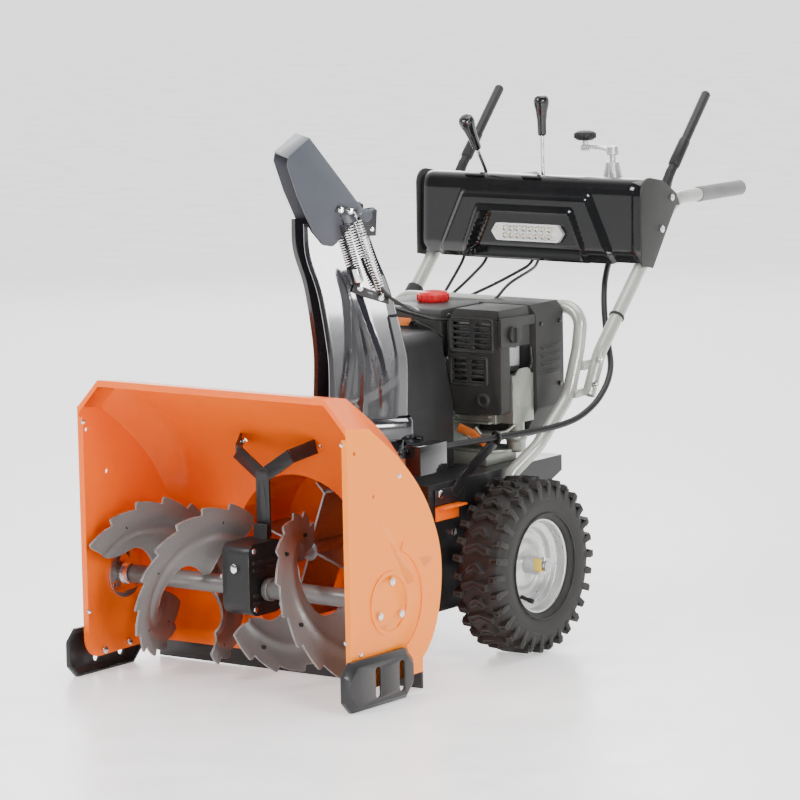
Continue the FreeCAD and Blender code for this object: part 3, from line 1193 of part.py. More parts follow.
# ---- console -------------------------------------------------------------------------------------
def console_shell():
    # a hood over the levers' pivot rod, open below and behind, with a sunken panel for the lamp
    front, low, top = 1010, 683, 849
    outer = prism("YZ_Plane", [(front, low), (front + 2, top, 26), (front + 74, top - 15, 30),
                               (front + 118, top - 44, 14),
                               (front + 132, top - 64)], "2 * console_half", both=True)
    inner = prism("YZ_Plane", [(front + 4, low - 3), (front + 6, top - 4.4, 22), (front + 73, top - 19, 26),
                               (front + 115, top - 47, 10), (front + 134, top - 75)],
                  "2 * console_half + 2", both=True)
    recess = [(-142, low + 9), (132, low + 9), (96, low + 88), (-106, low + 88)]
    panel = [(-146, low + 5), (136, low + 5), (98.5, low + 92), (-108.5, low + 92)]
    sunk = prism("XZ_Plane", recess, 14, str(-front + 2), back=True)
    thick = prism("XZ_Plane", panel, 14, str(-front - 2), back=True)
    slots = [block((x, front + 22, 760), (14, 80, 120)) for x in (size.speed_x - 7, size.tilt_x - 7)]
    crank_hole = rod(9, 200, ("crank_x", "crank_y", 700))
    ends = [prism("XY_Plane", oblong("%d * (upper_x - 0.5)" % s, front + 94, 31, 96), 200,
                  "720") for s in (-1, 1)]
    boss = rod(22, 26, ("crank_x", "crank_y", 812))
    keep(cut(fuse(cut(outer, inner), thick, boss), sunk, crank_hole, *slots, *ends), "console_shell")


def console_frame():
    # an end plate each side, joined by the pivot rod that carries both levers, with a pin for each paddle
    outline = [(1008, 680), (1009, 853, 28), (1086, 838, 30), (1132, 810, 14), (1146, 786), (1130, 786, 8),
               (1047, 672)]
    plates = [prism("YZ_Plane", outline, "end_wall",
                    offset) for offset in ("console_half + 0.2", "-console_half - 0.2 - end_wall")]
    pivot = rod("pivot_r", "2 * console_half + 2", ("-console_half - 1", "pivot_y", "pivot_z"), along_x)
    pins = [rod("paddle_pin_r", "console_half - upper_x + paddle_w / 2 + 2",
                (start, "paddle_y", "paddle_z"), along_x)
            for start in ("upper_x - paddle_w / 2 - 1", "-console_half - 1")]
    step = rod("crank_r - 1", 50, ("crank_x", "crank_y", "pivot_z - 30"))
    cross = block(("crank_x - 12", "pivot_y - 1", "pivot_z - 5"), (24, "crank_y - pivot_y + 12", 10))
    bore = rod("6 + shaft_gap", 90, ("crank_x", "crank_y", "pivot_z - 40"))
    keep(fuse(cut(fuse(cross, step), bore), pivot, *plates, *pins), "console_frame")


def headlight():
    body = prism("XZ_Plane", [("lamp_x - lamp_w / 2", "lamp_z"),
                              ("lamp_x - lamp_w / 2 + 12", "lamp_z - lamp_tall / 2"),
                              ("lamp_x + lamp_w / 2 - 12", "lamp_z - lamp_tall / 2"),
                              ("lamp_x + lamp_w / 2", "lamp_z"),
                              ("lamp_x + lamp_w / 2 - 12", "lamp_z + lamp_tall / 2"),
                              ("lamp_x - lamp_w / 2 + 12", "lamp_z + lamp_tall / 2")], 11, "-1010",
                 back=True)
    keep(body, "headlight", 0, "front_y + 1", 0)


def lever(node, x, bend_y, knob_y, knob_z, slim):
    # a bent rod on the pivot, with a tapered knob
    foot, bend, tip = Vector(0, 0, 0), Vector(0, bend_y, 100), Vector(0, knob_y, knob_z)
    way = (tip - bend).normalize()
    rod_shape = Part.makeCylinder(5, bend.Length, foot, bend).fuse(Part.makeSphere(5, bend))
    rod_shape = rod_shape.fuse(Part.makeCylinder(5, (tip - bend).Length - 66, bend, way))
    knob = Part.makeCone(slim, slim + 5, 64, tip - way * 68,
                         way).fuse(Part.makeCone(slim + 5, slim, 6, tip - way * 4, way))
    hub = Part.makeCylinder(size.pivot_r + 6, 16, Vector(-8, 0, 0), Vector(1, 0, 0))
    body = rod_shape.fuse(knob).fuse(hub)
    body = body.cut(Part.makeCylinder(size.pivot_r + size.shaft_gap, 30, Vector(-15, 0, 0),
                                      Vector(1, 0, 0)))
    keep(solid(body, node), node, x, "front_y + pivot_y", "pivot_z")


def levers():
    lever("speed_lever", "speed_x", -15, -86, 212, 7)
    lever("deflector_lever", "tilt_x", -15, -17, 252, 6)


def paddles():
    # dead-man levers: a hub on its pin and a long blade that lies on the grip when pressed
    tip = "paddle_len"
    for s, node in ((-1, "auger_paddle"), (1, "drive_paddle")):
        blade = prism("YZ_Plane", [(-12, -11, 8), (14, -11, 8), (40, 2), (74, 13), (tip, 15, 6),
                                   (tip, 29, 6), (66, 27), (-4, 11, 8),
                                   (-12, 8, 3)], "paddle_w", both=True)
        bore = rod("paddle_pin_r + shaft_gap", 60, (-30, 0, 0), along_x)
        keep(cut(blade, bore), node, "%d * upper_x" % s, "front_y + paddle_y", "paddle_z",
             FreeCAD.Rotation(Vector(1, 0, 0), size.paddle_rise))


def chute_crank():
    # upright spindle with a ribbed collar, a flat arm and a round knob
    spindle = rod(6, 160, (0, 0, "pivot_z - 8 - 748"))
    collar = turned("XZ_Plane", "Z_Axis", [("0", 90.5), ("20", 90.5), ("14", 118), ("9", 120), ("0", 120)])
    arm = solid(bar((-6, 3, 142), (-96, 49, 142), 16, 6, (0.45, 0.9, 0)))
    hub = rod(11, 14, (0, 0, 136))
    knob = rod(6, 18, (-96, 49, 142))
    cap = turned("XZ_Plane", "Z_Axis", [("0", 157), ("18", 157), ("21.5", 162, 3), ("21.5", 170, 4),
                                        ("16", 175, 3), ("0", 175)])
    place(cap, -96, 49, 0)
    keep(fuse(spindle, collar, arm, hub, knob, cap), "chute_crank", "crank_x", "front_y + crank_y", 748)


# ---- fasteners -----------------------------------------------------------------------------------
def fasteners():
    heads = []
    half = size.housing_w / 2
    for s in (-1, 1):
        for y, z in bearing_bolts():
            heads.append(hex_head((s * half, y, z), (s, 0, 0), 13, 6))
        for y, z in skid_bolts:
            heads.append(hex_head((s * (half - size.sheet_wall), y, z), (-s, 0, 0), 13, 6))
        for y, z in ((439, 312), (484, 236)):
            x = size.frame_half if s < 0 or z < 290 else size.frame_half + size.face_gap + 4
            heads.append(hex_head((s * x, y, z), (s, 0, 0), 14, 6))
        heads.append(hex_head((s * (size.console_half + 0.2 + size.end_wall), size.pivot_y, size.pivot_z),
                              (s, 0, 0), 13, 5))
        heads.append(hex_head((s * (size.console_half + 0.2 + size.end_wall), size.paddle_y, size.paddle_z),
                              (s, 0, 0), 12, 5))
        elbow, foot = [Vector(*point) for point in fork_foot(s)]
        run = (foot - elbow).normalize()
        out = run.cross(Vector(0, 0, 1)).normalize() * -s
        seat = foot - run * 10 + out * (size.strap_wall / 2)
        heads.append(hex_head(seat, out, 12, 5))
    case_face = size.case_half
    for y, z in ((size.case_front + 14, size.case_base + 14),
                 (size.case_front + size.case_depth - 14, size.case_base + 14),
                 (size.case_front + 12, size.case_base + size.case_tall - 12)):
        for s in (-1, 1):
            heads.append(hex_head((s * case_face, y, z), (s, 0, 0), 10, 5))
    heads.append(hex_head((0, size.case_front, size.auger_z + 42), (0, -1, 0), 15, 7))
    keep(solid(Part.makeCompound(heads), "fasteners"), "fasteners")


# ---- build ---------------------------------------------------------------------------------------
auger_housing()
side_plate(1)
side_plate(-1)
scraper_bar()
skid_shoes()
auger(1, size.right_phase)
auger(-1, size.left_phase)
auger_shaft()
worm_wheel()
gear_case()
gearbox_bracket()
bearings()
impeller_housing()
impeller()
impeller_shaft()
frame_shell()
bottom_cover()
axle()
hex_shaft()
friction_wheel()
drive_disc()
crankshaft()
drive_belts()
tyres()
wheel_rims()
wheel_pins()
engine()
muffler_guard()
side_cover()
carburettor()
fan_housing()
fuel_tank()
belt_cover()
chute_base()
chute_worm()
chute_channel()
deflector()
chute_spring()
cables()
shaft_guide_bracket()
lower_handle()
upper_handles()
hand_grips()
console_shell()
console_frame()
headlight()
levers()
paddles()
chute_crank()
fasteners()
doc.recompute()

faults = [item.Label for item in doc.Objects if "Invalid" in item.State or "Error" in item.State]
faults += [item.Label for item in pieces if item.Shape.isNull() or not item.Shape.isValid()]
if faults:
    raise RuntimeError("these did not build: " + ", ".join(faults))

os.makedirs("parts", exist_ok=True)
for item in pieces:
    item.Shape.exportStep("parts/" + item.Label + ".step")
print("%d sub-parts written" % len(pieces))
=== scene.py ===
import json
import math
import bmesh
import bpy
from mathutils import Matrix, Vector


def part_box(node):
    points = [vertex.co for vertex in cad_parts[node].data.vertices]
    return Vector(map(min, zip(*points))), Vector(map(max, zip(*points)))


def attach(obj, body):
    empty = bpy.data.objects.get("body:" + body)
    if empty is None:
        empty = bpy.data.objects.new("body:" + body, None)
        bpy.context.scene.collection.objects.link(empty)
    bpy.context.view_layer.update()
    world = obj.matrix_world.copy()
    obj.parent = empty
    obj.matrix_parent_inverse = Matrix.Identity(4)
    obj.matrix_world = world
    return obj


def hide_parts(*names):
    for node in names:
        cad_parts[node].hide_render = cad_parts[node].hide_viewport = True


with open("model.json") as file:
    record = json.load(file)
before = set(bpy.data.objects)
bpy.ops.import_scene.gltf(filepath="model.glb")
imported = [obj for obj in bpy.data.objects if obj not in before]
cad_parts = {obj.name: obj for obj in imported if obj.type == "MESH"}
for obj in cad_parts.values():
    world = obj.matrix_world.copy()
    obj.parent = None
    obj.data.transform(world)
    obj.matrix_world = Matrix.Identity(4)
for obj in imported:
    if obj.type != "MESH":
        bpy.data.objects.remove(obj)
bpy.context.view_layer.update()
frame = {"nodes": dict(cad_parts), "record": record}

mm = 0.001
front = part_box("auger_housing")[0].y / mm  # every y below is counted back from the housing's front edge
hub = {"auger": (115, 174), "wheel": (593, 165)}  # y and z of the turning axes


# camera, floor and lights
view = {"place": (4.760, -6.6224, 1.5994), "right": (0.80908, 0.58736, -0.01982),
        "up": (-0.06646, 0.12495, 0.98993), "ahead": (-0.58393, 0.79962, -0.14013), "lens": 195.07,
        "sensor": 36, "far": 200}


def addCamera():
    camera = bpy.data.objects.new("camera", bpy.data.cameras.new("camera"))
    bpy.context.collection.objects.link(camera)
    turn = Matrix((view["right"], view["up"], -Vector(view["ahead"]))).transposed().to_4x4()
    camera.matrix_world = Matrix.Translation(view["place"]) @ turn
    camera.data.lens = view["lens"]
    camera.data.sensor_width = view["sensor"]
    camera.data.clip_end = view["far"]
    bpy.context.scene.camera = camera


# each lamp's place, the point it faces, its size and its power
studio = {
    "key": ((-1.6, -4.6, 3.6), (0, -0.2, 0.4), 1.8, 200),
    "side": ((4.6, -1.6, 2.4), (0, 0, 0.4), 1.5, 150),
    "top": ((0.4, 0.6, 5.2), (0, 0, 0.3), 4.0, 230),
    "back": ((-3.4, 4.2, 2.4), (0, 0, 0.5), 2.6, 80),
    "strip": ((2.6, -4.8, 1.2), (0.1, -0.3, 0.6), 0.6, 36),
    "band": ((3.7, -2.3, 0.75), (0.05, -0.35, 0.65), 0.45, 34),
}
room = {"sky": 2.6, "dark": 0.05, "fadeLow": -0.2, "fadeHigh": 0.75, "facing": (-0.58, 0.80, -0.14),
        "floor": 60, "floorGlow": 0.55}


def wire(tree, *pairs):
    for start, end in pairs:
        tree.links.new(start, end)


def added(tree, kind, operation=None, **inputs):
    # a new node with its operation and inputs; a _ in a label stands for a space
    node = tree.nodes.new(kind)
    if operation:
        node.operation = operation
    for label, value in inputs.items():
        node.inputs[label.replace("_", " ")].default_value = value
    return node


def addStudio():
    world = bpy.data.worlds.new("studio")
    bpy.context.scene.world = world
    world.use_nodes = True
    tree = world.node_tree
    sky = tree.nodes["Background"]
    sky.inputs["Strength"].default_value = room["sky"]
    place = added(tree, "ShaderNodeTexCoord")
    toward = added(tree, "ShaderNodeVectorMath", "DOT_PRODUCT")
    toward.inputs[1].default_value = room["facing"]
    fade = added(tree, "ShaderNodeMapRange", From_Min=room["fadeLow"], From_Max=room["fadeHigh"],
                 To_Min=room["dark"])
    wire(tree, (place.outputs["Generated"], toward.inputs[0]),
         (toward.outputs["Value"], fade.inputs["Value"]), (fade.outputs["Result"], sky.inputs["Color"]))
    for name, (place, target, size, power) in studio.items():
        lamp = bpy.data.lights.new(name, "AREA")
        lamp.size = size
        lamp.energy = power
        holder = bpy.data.objects.new(name, lamp)
        holder.location = place
        holder.rotation_euler = (Vector(target) - Vector(place)).to_track_quat("-Z", "Y").to_euler()
        bpy.context.collection.objects.link(holder)
    sheet = bpy.data.meshes.new("floor")
    far = room["floor"]
    sheet.from_pydata([(-far, -far, 0), (far, -far, 0), (far, far, 0), (-far, far, 0)], [],
                      [(0, 1, 2, 3)])
    floor = bpy.data.objects.new("floor", sheet)
    bpy.context.collection.objects.link(floor)
    sheet.materials.append(paleFloor())


# shader groups and finishes
def groupTree(name, inputs, outputs, kind="ShaderNodeTree"):
    # inputs: label, kind of socket and first value; outputs: label and kind of socket
    tree = bpy.data.node_groups.new(name, kind)
    for label, socketKind, value in inputs:
        socket = tree.interface.new_socket(label, in_out="INPUT", socket_type="NodeSocket" + socketKind)
        if value is not None:
            socket.default_value = value
    for label, socketKind in outputs:
        tree.interface.new_socket(label, in_out="OUTPUT", socket_type="NodeSocket" + socketKind)
    return tree, tree.nodes.new("NodeGroupInput"), tree.nodes.new("NodeGroupOutput")


def mathNode(tree, operation, first, second):
    node = added(tree, "ShaderNodeMath", operation)
    for socket, item in zip(node.inputs, (first, second)):
        if isinstance(item, (int, float)):
            socket.default_value = item
        else:
            tree.links.new(item, socket)
    return node.outputs[0]


def buildGrain():
    # fine surface texture: a soft mask for colour and gloss, and a bumped normal
    tree, start, end = groupTree("surfaceGrain", [("Scale", "Float", 400), ("Depth", "Float", 0.2)],
                                 [("Mask", "Float"), ("Normal", "Vector")])
    place = added(tree, "ShaderNodeTexCoord").outputs["Object"]
    fine = added(tree, "ShaderNodeTexNoise", Detail=3)
    broad = added(tree, "ShaderNodeTexNoise", Scale=7, Detail=5)
    bump = added(tree, "ShaderNodeBump", Distance=0.0004)
    wire(tree, (place, fine.inputs["Vector"]), (place, broad.inputs["Vector"]),
         (start.outputs["Scale"], fine.inputs["Scale"]),
         (start.outputs["Depth"], bump.inputs["Strength"]),
         (fine.outputs["Fac"], bump.inputs["Height"]), (bump.outputs["Normal"], end.inputs["Normal"]))
    both = mathNode(tree, "ADD", mathNode(tree, "MULTIPLY", broad.outputs["Fac"], 0.7),
                    mathNode(tree, "MULTIPLY", fine.outputs["Fac"], 0.3))
    wire(tree, (both, end.inputs["Mask"]))
    return tree


def buildWear():
    # 1 along corners and edges, broken up by noise
    tree, start, end = groupTree("edgeWear", [("Width", "Float", 0.0015), ("Amount", "Float", 0.5)],
                                 [("Mask", "Float")])
    place = added(tree, "ShaderNodeTexCoord")
    noise = added(tree, "ShaderNodeTexNoise", Scale=45, Detail=6)
    corner = added(tree, "ShaderNodeBevel")
    corner.samples = 4
    plain = added(tree, "ShaderNodeNewGeometry")
    dot = added(tree, "ShaderNodeVectorMath", "DOT_PRODUCT")
    wire(tree, (place.outputs["Object"], noise.inputs["Vector"]),
         (start.outputs["Width"], corner.inputs["Radius"]), (corner.outputs["Normal"], dot.inputs[0]),
         (plain.outputs["Normal"], dot.inputs[1]))
    edge = mathNode(tree, "MULTIPLY", mathNode(tree, "SUBTRACT", 1.0, dot.outputs["Value"]), 7.0)
    spots = mathNode(tree, "MULTIPLY", mathNode(tree, "SUBTRACT", noise.outputs["Fac"], 0.42), 5.0)
    shown = mathNode(tree, "MULTIPLY", mathNode(tree, "MULTIPLY", edge, spots), start.outputs["Amount"])
    clamp = added(tree, "ShaderNodeClamp")
    wire(tree, (shown, clamp.inputs["Value"]), (clamp.outputs["Result"], end.inputs["Mask"]))
    return tree


def buildStreaks():
    # long thin scratches and drawn lines, stretched along one axis
    tree, start, end = groupTree("drawnStreaks", [("Stretch", "Vector", (1, 1, 1)),
                                                  ("Scale", "Float", 60)],
                                 [("Mask", "Float")])
    place = added(tree, "ShaderNodeTexCoord")
    spread = added(tree, "ShaderNodeVectorMath", "MULTIPLY")
    noise = added(tree, "ShaderNodeTexNoise", Detail=4)
    wire(tree, (place.outputs["Object"], spread.inputs[0]),
         (start.outputs["Stretch"], spread.inputs[1]),
         (spread.outputs[0], noise.inputs["Vector"]), (start.outputs["Scale"], noise.inputs["Scale"]),
         (noise.outputs["Fac"], end.inputs["Mask"]))
    return tree


grainGroup = buildGrain()
wearGroup = buildWear()
streakGroup = buildStreaks()


def groupNode(tree, group, **inputs):
    node = tree.nodes.new("ShaderNodeGroup")
    node.node_tree = group
    for label, value in inputs.items():
        node.inputs[label].default_value = value
    return node


def mixNode(tree, **colours):
    # two colours mixed by the first input
    node = tree.nodes.new("ShaderNodeMix")
    node.data_type = "RGBA"
    for label, colour in colours.items():
        node.inputs[{"a": 6, "b": 7}[label]].default_value = (*colour, 1)
    return node


def finish(name, colour, shade, gloss, metal=0.0, coat=0.0, grain=(400, 0.2), wear=None, streaks=None):
    # colour and shade are mixed by the grain; gloss is the lowest and highest roughness
    material = bpy.data.materials.new(name)
    material.use_nodes = True
    tree = material.node_tree
    shader = tree.nodes["Principled BSDF"]
    for label, value in (("Coat Weight", coat), ("Coat Roughness", 0.04), ("Specular IOR Level", 0.3),
                         ("Metallic", metal)):
        shader.inputs[label].default_value = value
    surface = groupNode(tree, grainGroup, Scale=grain[0], Depth=grain[1])
    mask = surface.outputs["Mask"]
    if streaks:
        drawn = groupNode(tree, streakGroup, Stretch=streaks[0], Scale=streaks[1])
        mask = mathNode(tree, "ADD", mathNode(tree, "MULTIPLY", mask, 0.5),
                        mathNode(tree, "MULTIPLY", drawn.outputs["Mask"], 0.5))
    spread = added(tree, "ShaderNodeMapRange", From_Min=0.35, From_Max=0.65)
    tone = mixNode(tree, a=colour, b=shade)
    rough = added(tree, "ShaderNodeMapRange", To_Min=gloss[0], To_Max=gloss[1])
    wire(tree, (mask, spread.inputs["Value"]), (spread.outputs["Result"], tone.inputs[0]),
         (spread.outputs["Result"], rough.inputs["Value"]),
         (surface.outputs["Normal"], shader.inputs["Normal"]),
         (rough.outputs["Result"], shader.inputs["Roughness"]))
    if wear:
        worn = groupNode(tree, wearGroup, Width=wear[0], Amount=wear[1])
        edge = mixNode(tree, b=wear[2])
        wire(tree, (worn.outputs["Mask"], edge.inputs[0]), (tone.outputs[2], edge.inputs[6]))
        tone = edge
    wire(tree, (tone.outputs[2], shader.inputs["Base Color"]))
    return material


def paleFloor():
    material = finish("paleFloor", (0.88, 0.88, 0.875), (0.93, 0.93, 0.925), (0.25, 0.4),
                      grain=(40, 0.02))
    shader = material.node_tree.nodes["Principled BSDF"]
    shader.inputs["Emission Color"].default_value = (1, 1, 1, 1)
    shader.inputs["Emission Strength"].default_value = room["floorGlow"]
    return material


addCamera()
addStudio()

paints = {
    "orange": finish("orangePaint", (0.97, 0.135, 0.0), (1.0, 0.16, 0.0), (0.3, 0.4), coat=0.12,
                     grain=(900, 0.06), wear=(0.002, 0.25, (0.85, 0.3, 0.1))),
    # a lighter copy of the orange paint: its colour and edge colour are raised to paint in light falling
    # on the side plate, a painted highlight
    "paintedLitOrange": finish("paintedSunlitOrange", (1.0, 0.23, 0.0), (1.0, 0.26, 0.0), (0.3, 0.4), coat=0.12,
                     grain=(900, 0.06), wear=(0.002, 0.25, (0.95, 0.45, 0.15))),
    "auger": finish("augerGrey", (0.15, 0.145, 0.142), (0.2, 0.192, 0.188), (0.3, 0.42), metal=0.15,
                    coat=0.1, grain=(260, 0.25), wear=(0.0025, 0.5, (0.5, 0.48, 0.46))),
    "tube": finish("silverTube", (0.42, 0.43, 0.39), (0.5, 0.5, 0.46), (0.26, 0.36), metal=0.35,
                   coat=0.25, grain=(700, 0.12), wear=(0.001, 0.3, (0.7, 0.7, 0.68))),
    "rim": finish("rimSilver", (0.55, 0.55, 0.55), (0.66, 0.66, 0.65), (0.25, 0.36), metal=0.7,
                  grain=(500, 0.15), streaks=((8, 1, 1), 60)),
    "black": finish("blackPaint", (0.01, 0.01, 0.011), (0.022, 0.022, 0.024), (0.28, 0.45),
                    coat=0.2, grain=(600, 0.2), wear=(0.0015, 0.35, (0.2, 0.2, 0.2))),
    "glossBlack": finish("polishedBlack", (0.006, 0.0065, 0.007), (0.012, 0.012, 0.013),
                         (0.09, 0.16), coat=0.6, grain=(120, 0.02),
                         wear=(0.001, 0.15, (0.12, 0.12, 0.12))),
    "chuteBlack": finish("chuteSteel", (0.014, 0.015, 0.019), (0.022, 0.023, 0.028), (0.1, 0.17),
                         coat=1.0, grain=(60, 0.03)),
    "satin": finish("satinBlack", (0.05, 0.055, 0.07), (0.07, 0.076, 0.092), (0.38, 0.5), coat=0.1,
                    grain=(500, 0.15), wear=(0.001, 0.3, (0.22, 0.22, 0.24))),
    "charcoal": finish("charcoalPlastic", (0.026, 0.026, 0.025), (0.042, 0.042, 0.04), (0.42, 0.58),
                       grain=(1600, 0.55), wear=(0.0012, 0.3, (0.16, 0.16, 0.155))),
    "darkPlastic": finish("darkPlastic", (0.016, 0.016, 0.017), (0.03, 0.03, 0.031), (0.4, 0.55),
                          grain=(1300, 0.45), wear=(0.001, 0.3, (0.12, 0.12, 0.12))),
    "casting": finish("blackCasting", (0.012, 0.012, 0.013), (0.03, 0.03, 0.031), (0.35, 0.6),
                      coat=0.1, grain=(420, 0.9), wear=(0.0015, 0.5, (0.25, 0.25, 0.25))),
    "alloy": finish("castAlloy", (0.26, 0.27, 0.24), (0.4, 0.42, 0.37), (0.3, 0.48), metal=0.75,
                    grain=(520, 0.6), wear=(0.001, 0.3, (0.8, 0.8, 0.78))),
    "chrome": finish("brightZinc", (0.72, 0.73, 0.75), (0.86, 0.86, 0.87), (0.1, 0.22), metal=1.0,
                     grain=(300, 0.1), streaks=((1, 1, 12), 70)),
    "steel": finish("plainSteel", (0.36, 0.36, 0.37), (0.5, 0.5, 0.51), (0.24, 0.4), metal=0.95,
                    grain=(420, 0.2), streaks=((10, 1, 1), 90)),
    "rubber": finish("blackRubber", (0.012, 0.012, 0.012), (0.026, 0.025, 0.024), (0.55, 0.75),
                     grain=(700, 0.5)),
    "tyre": finish("tyreRubber", (0.014, 0.0135, 0.013), (0.034, 0.032, 0.03), (0.5, 0.72),
                   grain=(260, 0.5), wear=(0.002, 0.35, (0.1, 0.095, 0.085))),
    "grip": finish("knurledGrip", (0.13, 0.13, 0.135), (0.24, 0.24, 0.245), (0.35, 0.5), metal=0.2,
                   grain=(900, 0.8)),
    "red": finish("redCap", (0.62, 0.012, 0.018), (0.74, 0.022, 0.028), (0.28, 0.4), coat=0.2,
                  grain=(900, 0.2)),
    "cord": finish("cordSheath", (0.01, 0.01, 0.01), (0.022, 0.022, 0.022), (0.3, 0.42),
                   grain=(1200, 0.3)),
    "lens": finish("lampReflector", (0.8, 0.8, 0.78), (0.92, 0.92, 0.9), (0.12, 0.25), coat=0.8,
                   grain=(300, 0.1)),
    "led": finish("ledAmber", (0.75, 0.66, 0.36), (0.95, 0.88, 0.6), (0.15, 0.3), coat=0.8,
                  grain=(2000, 0.4)),
    "tag": finish("yellowTag", (0.8, 0.55, 0.06), (0.92, 0.68, 0.12), (0.35, 0.5),
                  grain=(800, 0.3)),
    "copper": finish("copperStrip", (0.62, 0.14, 0.03), (0.78, 0.22, 0.05), (0.3, 0.45),
                     grain=(700, 0.3)),
}
print("finishes made:", len(paints))


# helpers that make plain meshes; all sizes are millimetres until pieceFrom scales them
def pieceFrom(name, mesh, paint, body, replaced=(), smooth=35, scaled=True):
    if scaled:
        mesh.transform(Matrix.Scale(mm, 4))
    mesh.materials.clear()
    mesh.materials.append(paints[paint])
    mesh.set_sharp_from_angle(angle=math.radians(smooth))
    piece = bpy.data.objects.new(name, mesh)
    bpy.context.collection.objects.link(piece)
    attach(piece, body)
    if replaced:
        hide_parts(*replaced)


def evaluatedMesh(holder):
    # the mesh that an object's live modifiers give
    bpy.context.view_layer.update()
    graph = bpy.context.evaluated_depsgraph_get()
    return bpy.data.meshes.new_from_object(holder.evaluated_get(graph))


def applyTo(mesh, *settings):
    # runs live modifiers on a mesh and returns the result
    holder = bpy.data.objects.new("work", mesh)
    bpy.context.collection.objects.link(holder)
    for kind, values in settings:
        modifier = holder.modifiers.new(kind, kind)
        for key, item in values.items():
            setattr(modifier, key, item)
    result = evaluatedMesh(holder)
    bpy.data.objects.remove(holder)
    return result


def rounded(mesh, width, segments=2, angle=30):
    return applyTo(mesh, ("BEVEL", {"width": width, "segments": segments, "limit_method": "ANGLE",
                                    "angle_limit": math.radians(angle), "use_clamp_overlap": True}))


bodies = frame["record"]["behaviour"]["bodies"]
nodeBody = {node: body for body, members in bodies.items() for node in members}


def refined(node, paint, bevel=0.0, smooth=32):
    # a copy of a CAD node with merged vertices, clean flats and soft edges
    mesh = frame["nodes"][node].data.copy()
    work = bmesh.new()
    work.from_mesh(mesh)
    bmesh.ops.remove_doubles(work, verts=work.verts, dist=1e-5)
    bmesh.ops.dissolve_limit(work, angle_limit=math.radians(0.5), verts=work.verts, edges=work.edges)
    bmesh.ops.recalc_face_normals(work, faces=work.faces)
    work.to_mesh(mesh)
    work.free()
    if bevel:
        mesh = rounded(mesh, bevel * mm)
    pieceFrom(node + "Look", mesh, paint, nodeBody[node], [node], smooth, scaled=False)


# mesh makers
def meshFrom(name, points, faces):
    mesh = bpy.data.meshes.new(name)
    mesh.from_pydata([tuple(p) for p in points], [], [tuple(f) for f in faces])
    work = bmesh.new()
    work.from_mesh(mesh)
    bmesh.ops.remove_doubles(work, verts=work.verts, dist=1e-4)
    bmesh.ops.recalc_face_normals(work, faces=work.faces)
    work.to_mesh(mesh)
    work.free()
    return mesh


def loftMesh(name, rings, closedRing=True, loop=False, caps=True):
    # skin over rings that have the same number of points
    count = len(rings[0])
    points = [p for ring in rings for p in ring]
    faces = []
    for i in range(len(rings) if loop else len(rings) - 1):
        j = (i + 1) % len(rings)
        for k in range(count if closedRing else count - 1):
            m = (k + 1) % count
            faces.append((i * count + k, i * count + m, j * count + m, j * count + k))
    if caps and not loop:
        faces.append(tuple(range(count))[::-1])
        faces.append(tuple(range(len(points) - count, len(points))))
    return meshFrom(name, points, faces)


def axisFrame(axis):
    along = Vector(axis).normalized()
    side = along.cross(Vector((0, 0, 1)) if abs(along.z) < 0.9 else Vector((1, 0, 0))).normalized()
    return along, side, along.cross(side)


def turnedMesh(name, profile, axis, origin=(0, 0, 0), steps=64):
    # profile: distance along the axis and radius; closed if off the axis, open if it ends on it
    along, side, other = axisFrame(axis)
    onAxis = profile[0][1] < 1e-6 and profile[-1][1] < 1e-6
    rings = []
    for k in range(steps):
        a = 2 * math.pi * k / steps
        out = side * math.cos(a) + other * math.sin(a)
        rings.append([Vector(origin) + along * h + out * r for h, r in profile])
    return loftMesh(name, rings, closedRing=not onAxis, loop=True)


def softened(profile, radius, steps=4):
    # rounds the corners of a closed outline
    result = []
    count = len(profile)
    for i in range(count):
        before, here, after = (Vector(profile[i - 1]), Vector(profile[i]),
                               Vector(profile[(i + 1) % count]))
        back, ahead = before - here, after - here
        reach = min(radius, back.length * 0.45, ahead.length * 0.45)
        start, end = here + back.normalized() * reach, here + ahead.normalized() * reach
        for k in range(steps + 1):
            w = k / steps
            result.append(tuple(start * (1 - w) ** 2 + here * 2 * w * (1 - w) + end * w * w))
    return result


def ringMesh(name, low, high, inner, outer, soft, axis, origin=(0, 0, 0), steps=64, softSteps=4):
    # a round sleeve with softened corners
    profile = [(low, inner), (low, outer), (high, outer), (high, inner)]
    return turnedMesh(name, softened(profile, soft, softSteps), axis, origin, steps)


def rectangle(low, base, high, top):
    return [(low, base), (high, base), (high, top), (low, top)]


def prismMesh(name, outline, axis, low, high, bevel=0.0, segments=2):
    # an outline pushed along X, Y or Z; its two numbers are the other two axes in order
    order = {"X": (1, 2, 0), "Y": (0, 2, 1), "Z": (0, 1, 2)}[axis]
    rings = []
    for level in (low, high):
        ring = []
        for u, v in outline:
            point = [0, 0, 0]
            point[order[0]], point[order[1]], point[order[2]] = u, v, level
            ring.append(Vector(point))
        rings.append(ring)
    mesh = loftMesh(name, rings)
    return rounded(mesh, bevel, segments) if bevel else mesh


def boxMesh(name, low, high, bevel=0.0, segments=2):
    outline = rectangle(low[0], low[1], high[0], high[1])
    return prismMesh(name, outline, "Z", low[2], high[2], bevel, segments)


def moved(mesh, shift=(0, 0, 0), turn=None):
    if turn:
        mesh.transform(turn.to_4x4())
    mesh.transform(Matrix.Translation(shift))
    return mesh


def joined(name, meshes):
    work = bmesh.new()
    for mesh in meshes:
        work.from_mesh(mesh)
    result = bpy.data.meshes.new(name)
    work.to_mesh(result)
    work.free()
    return result


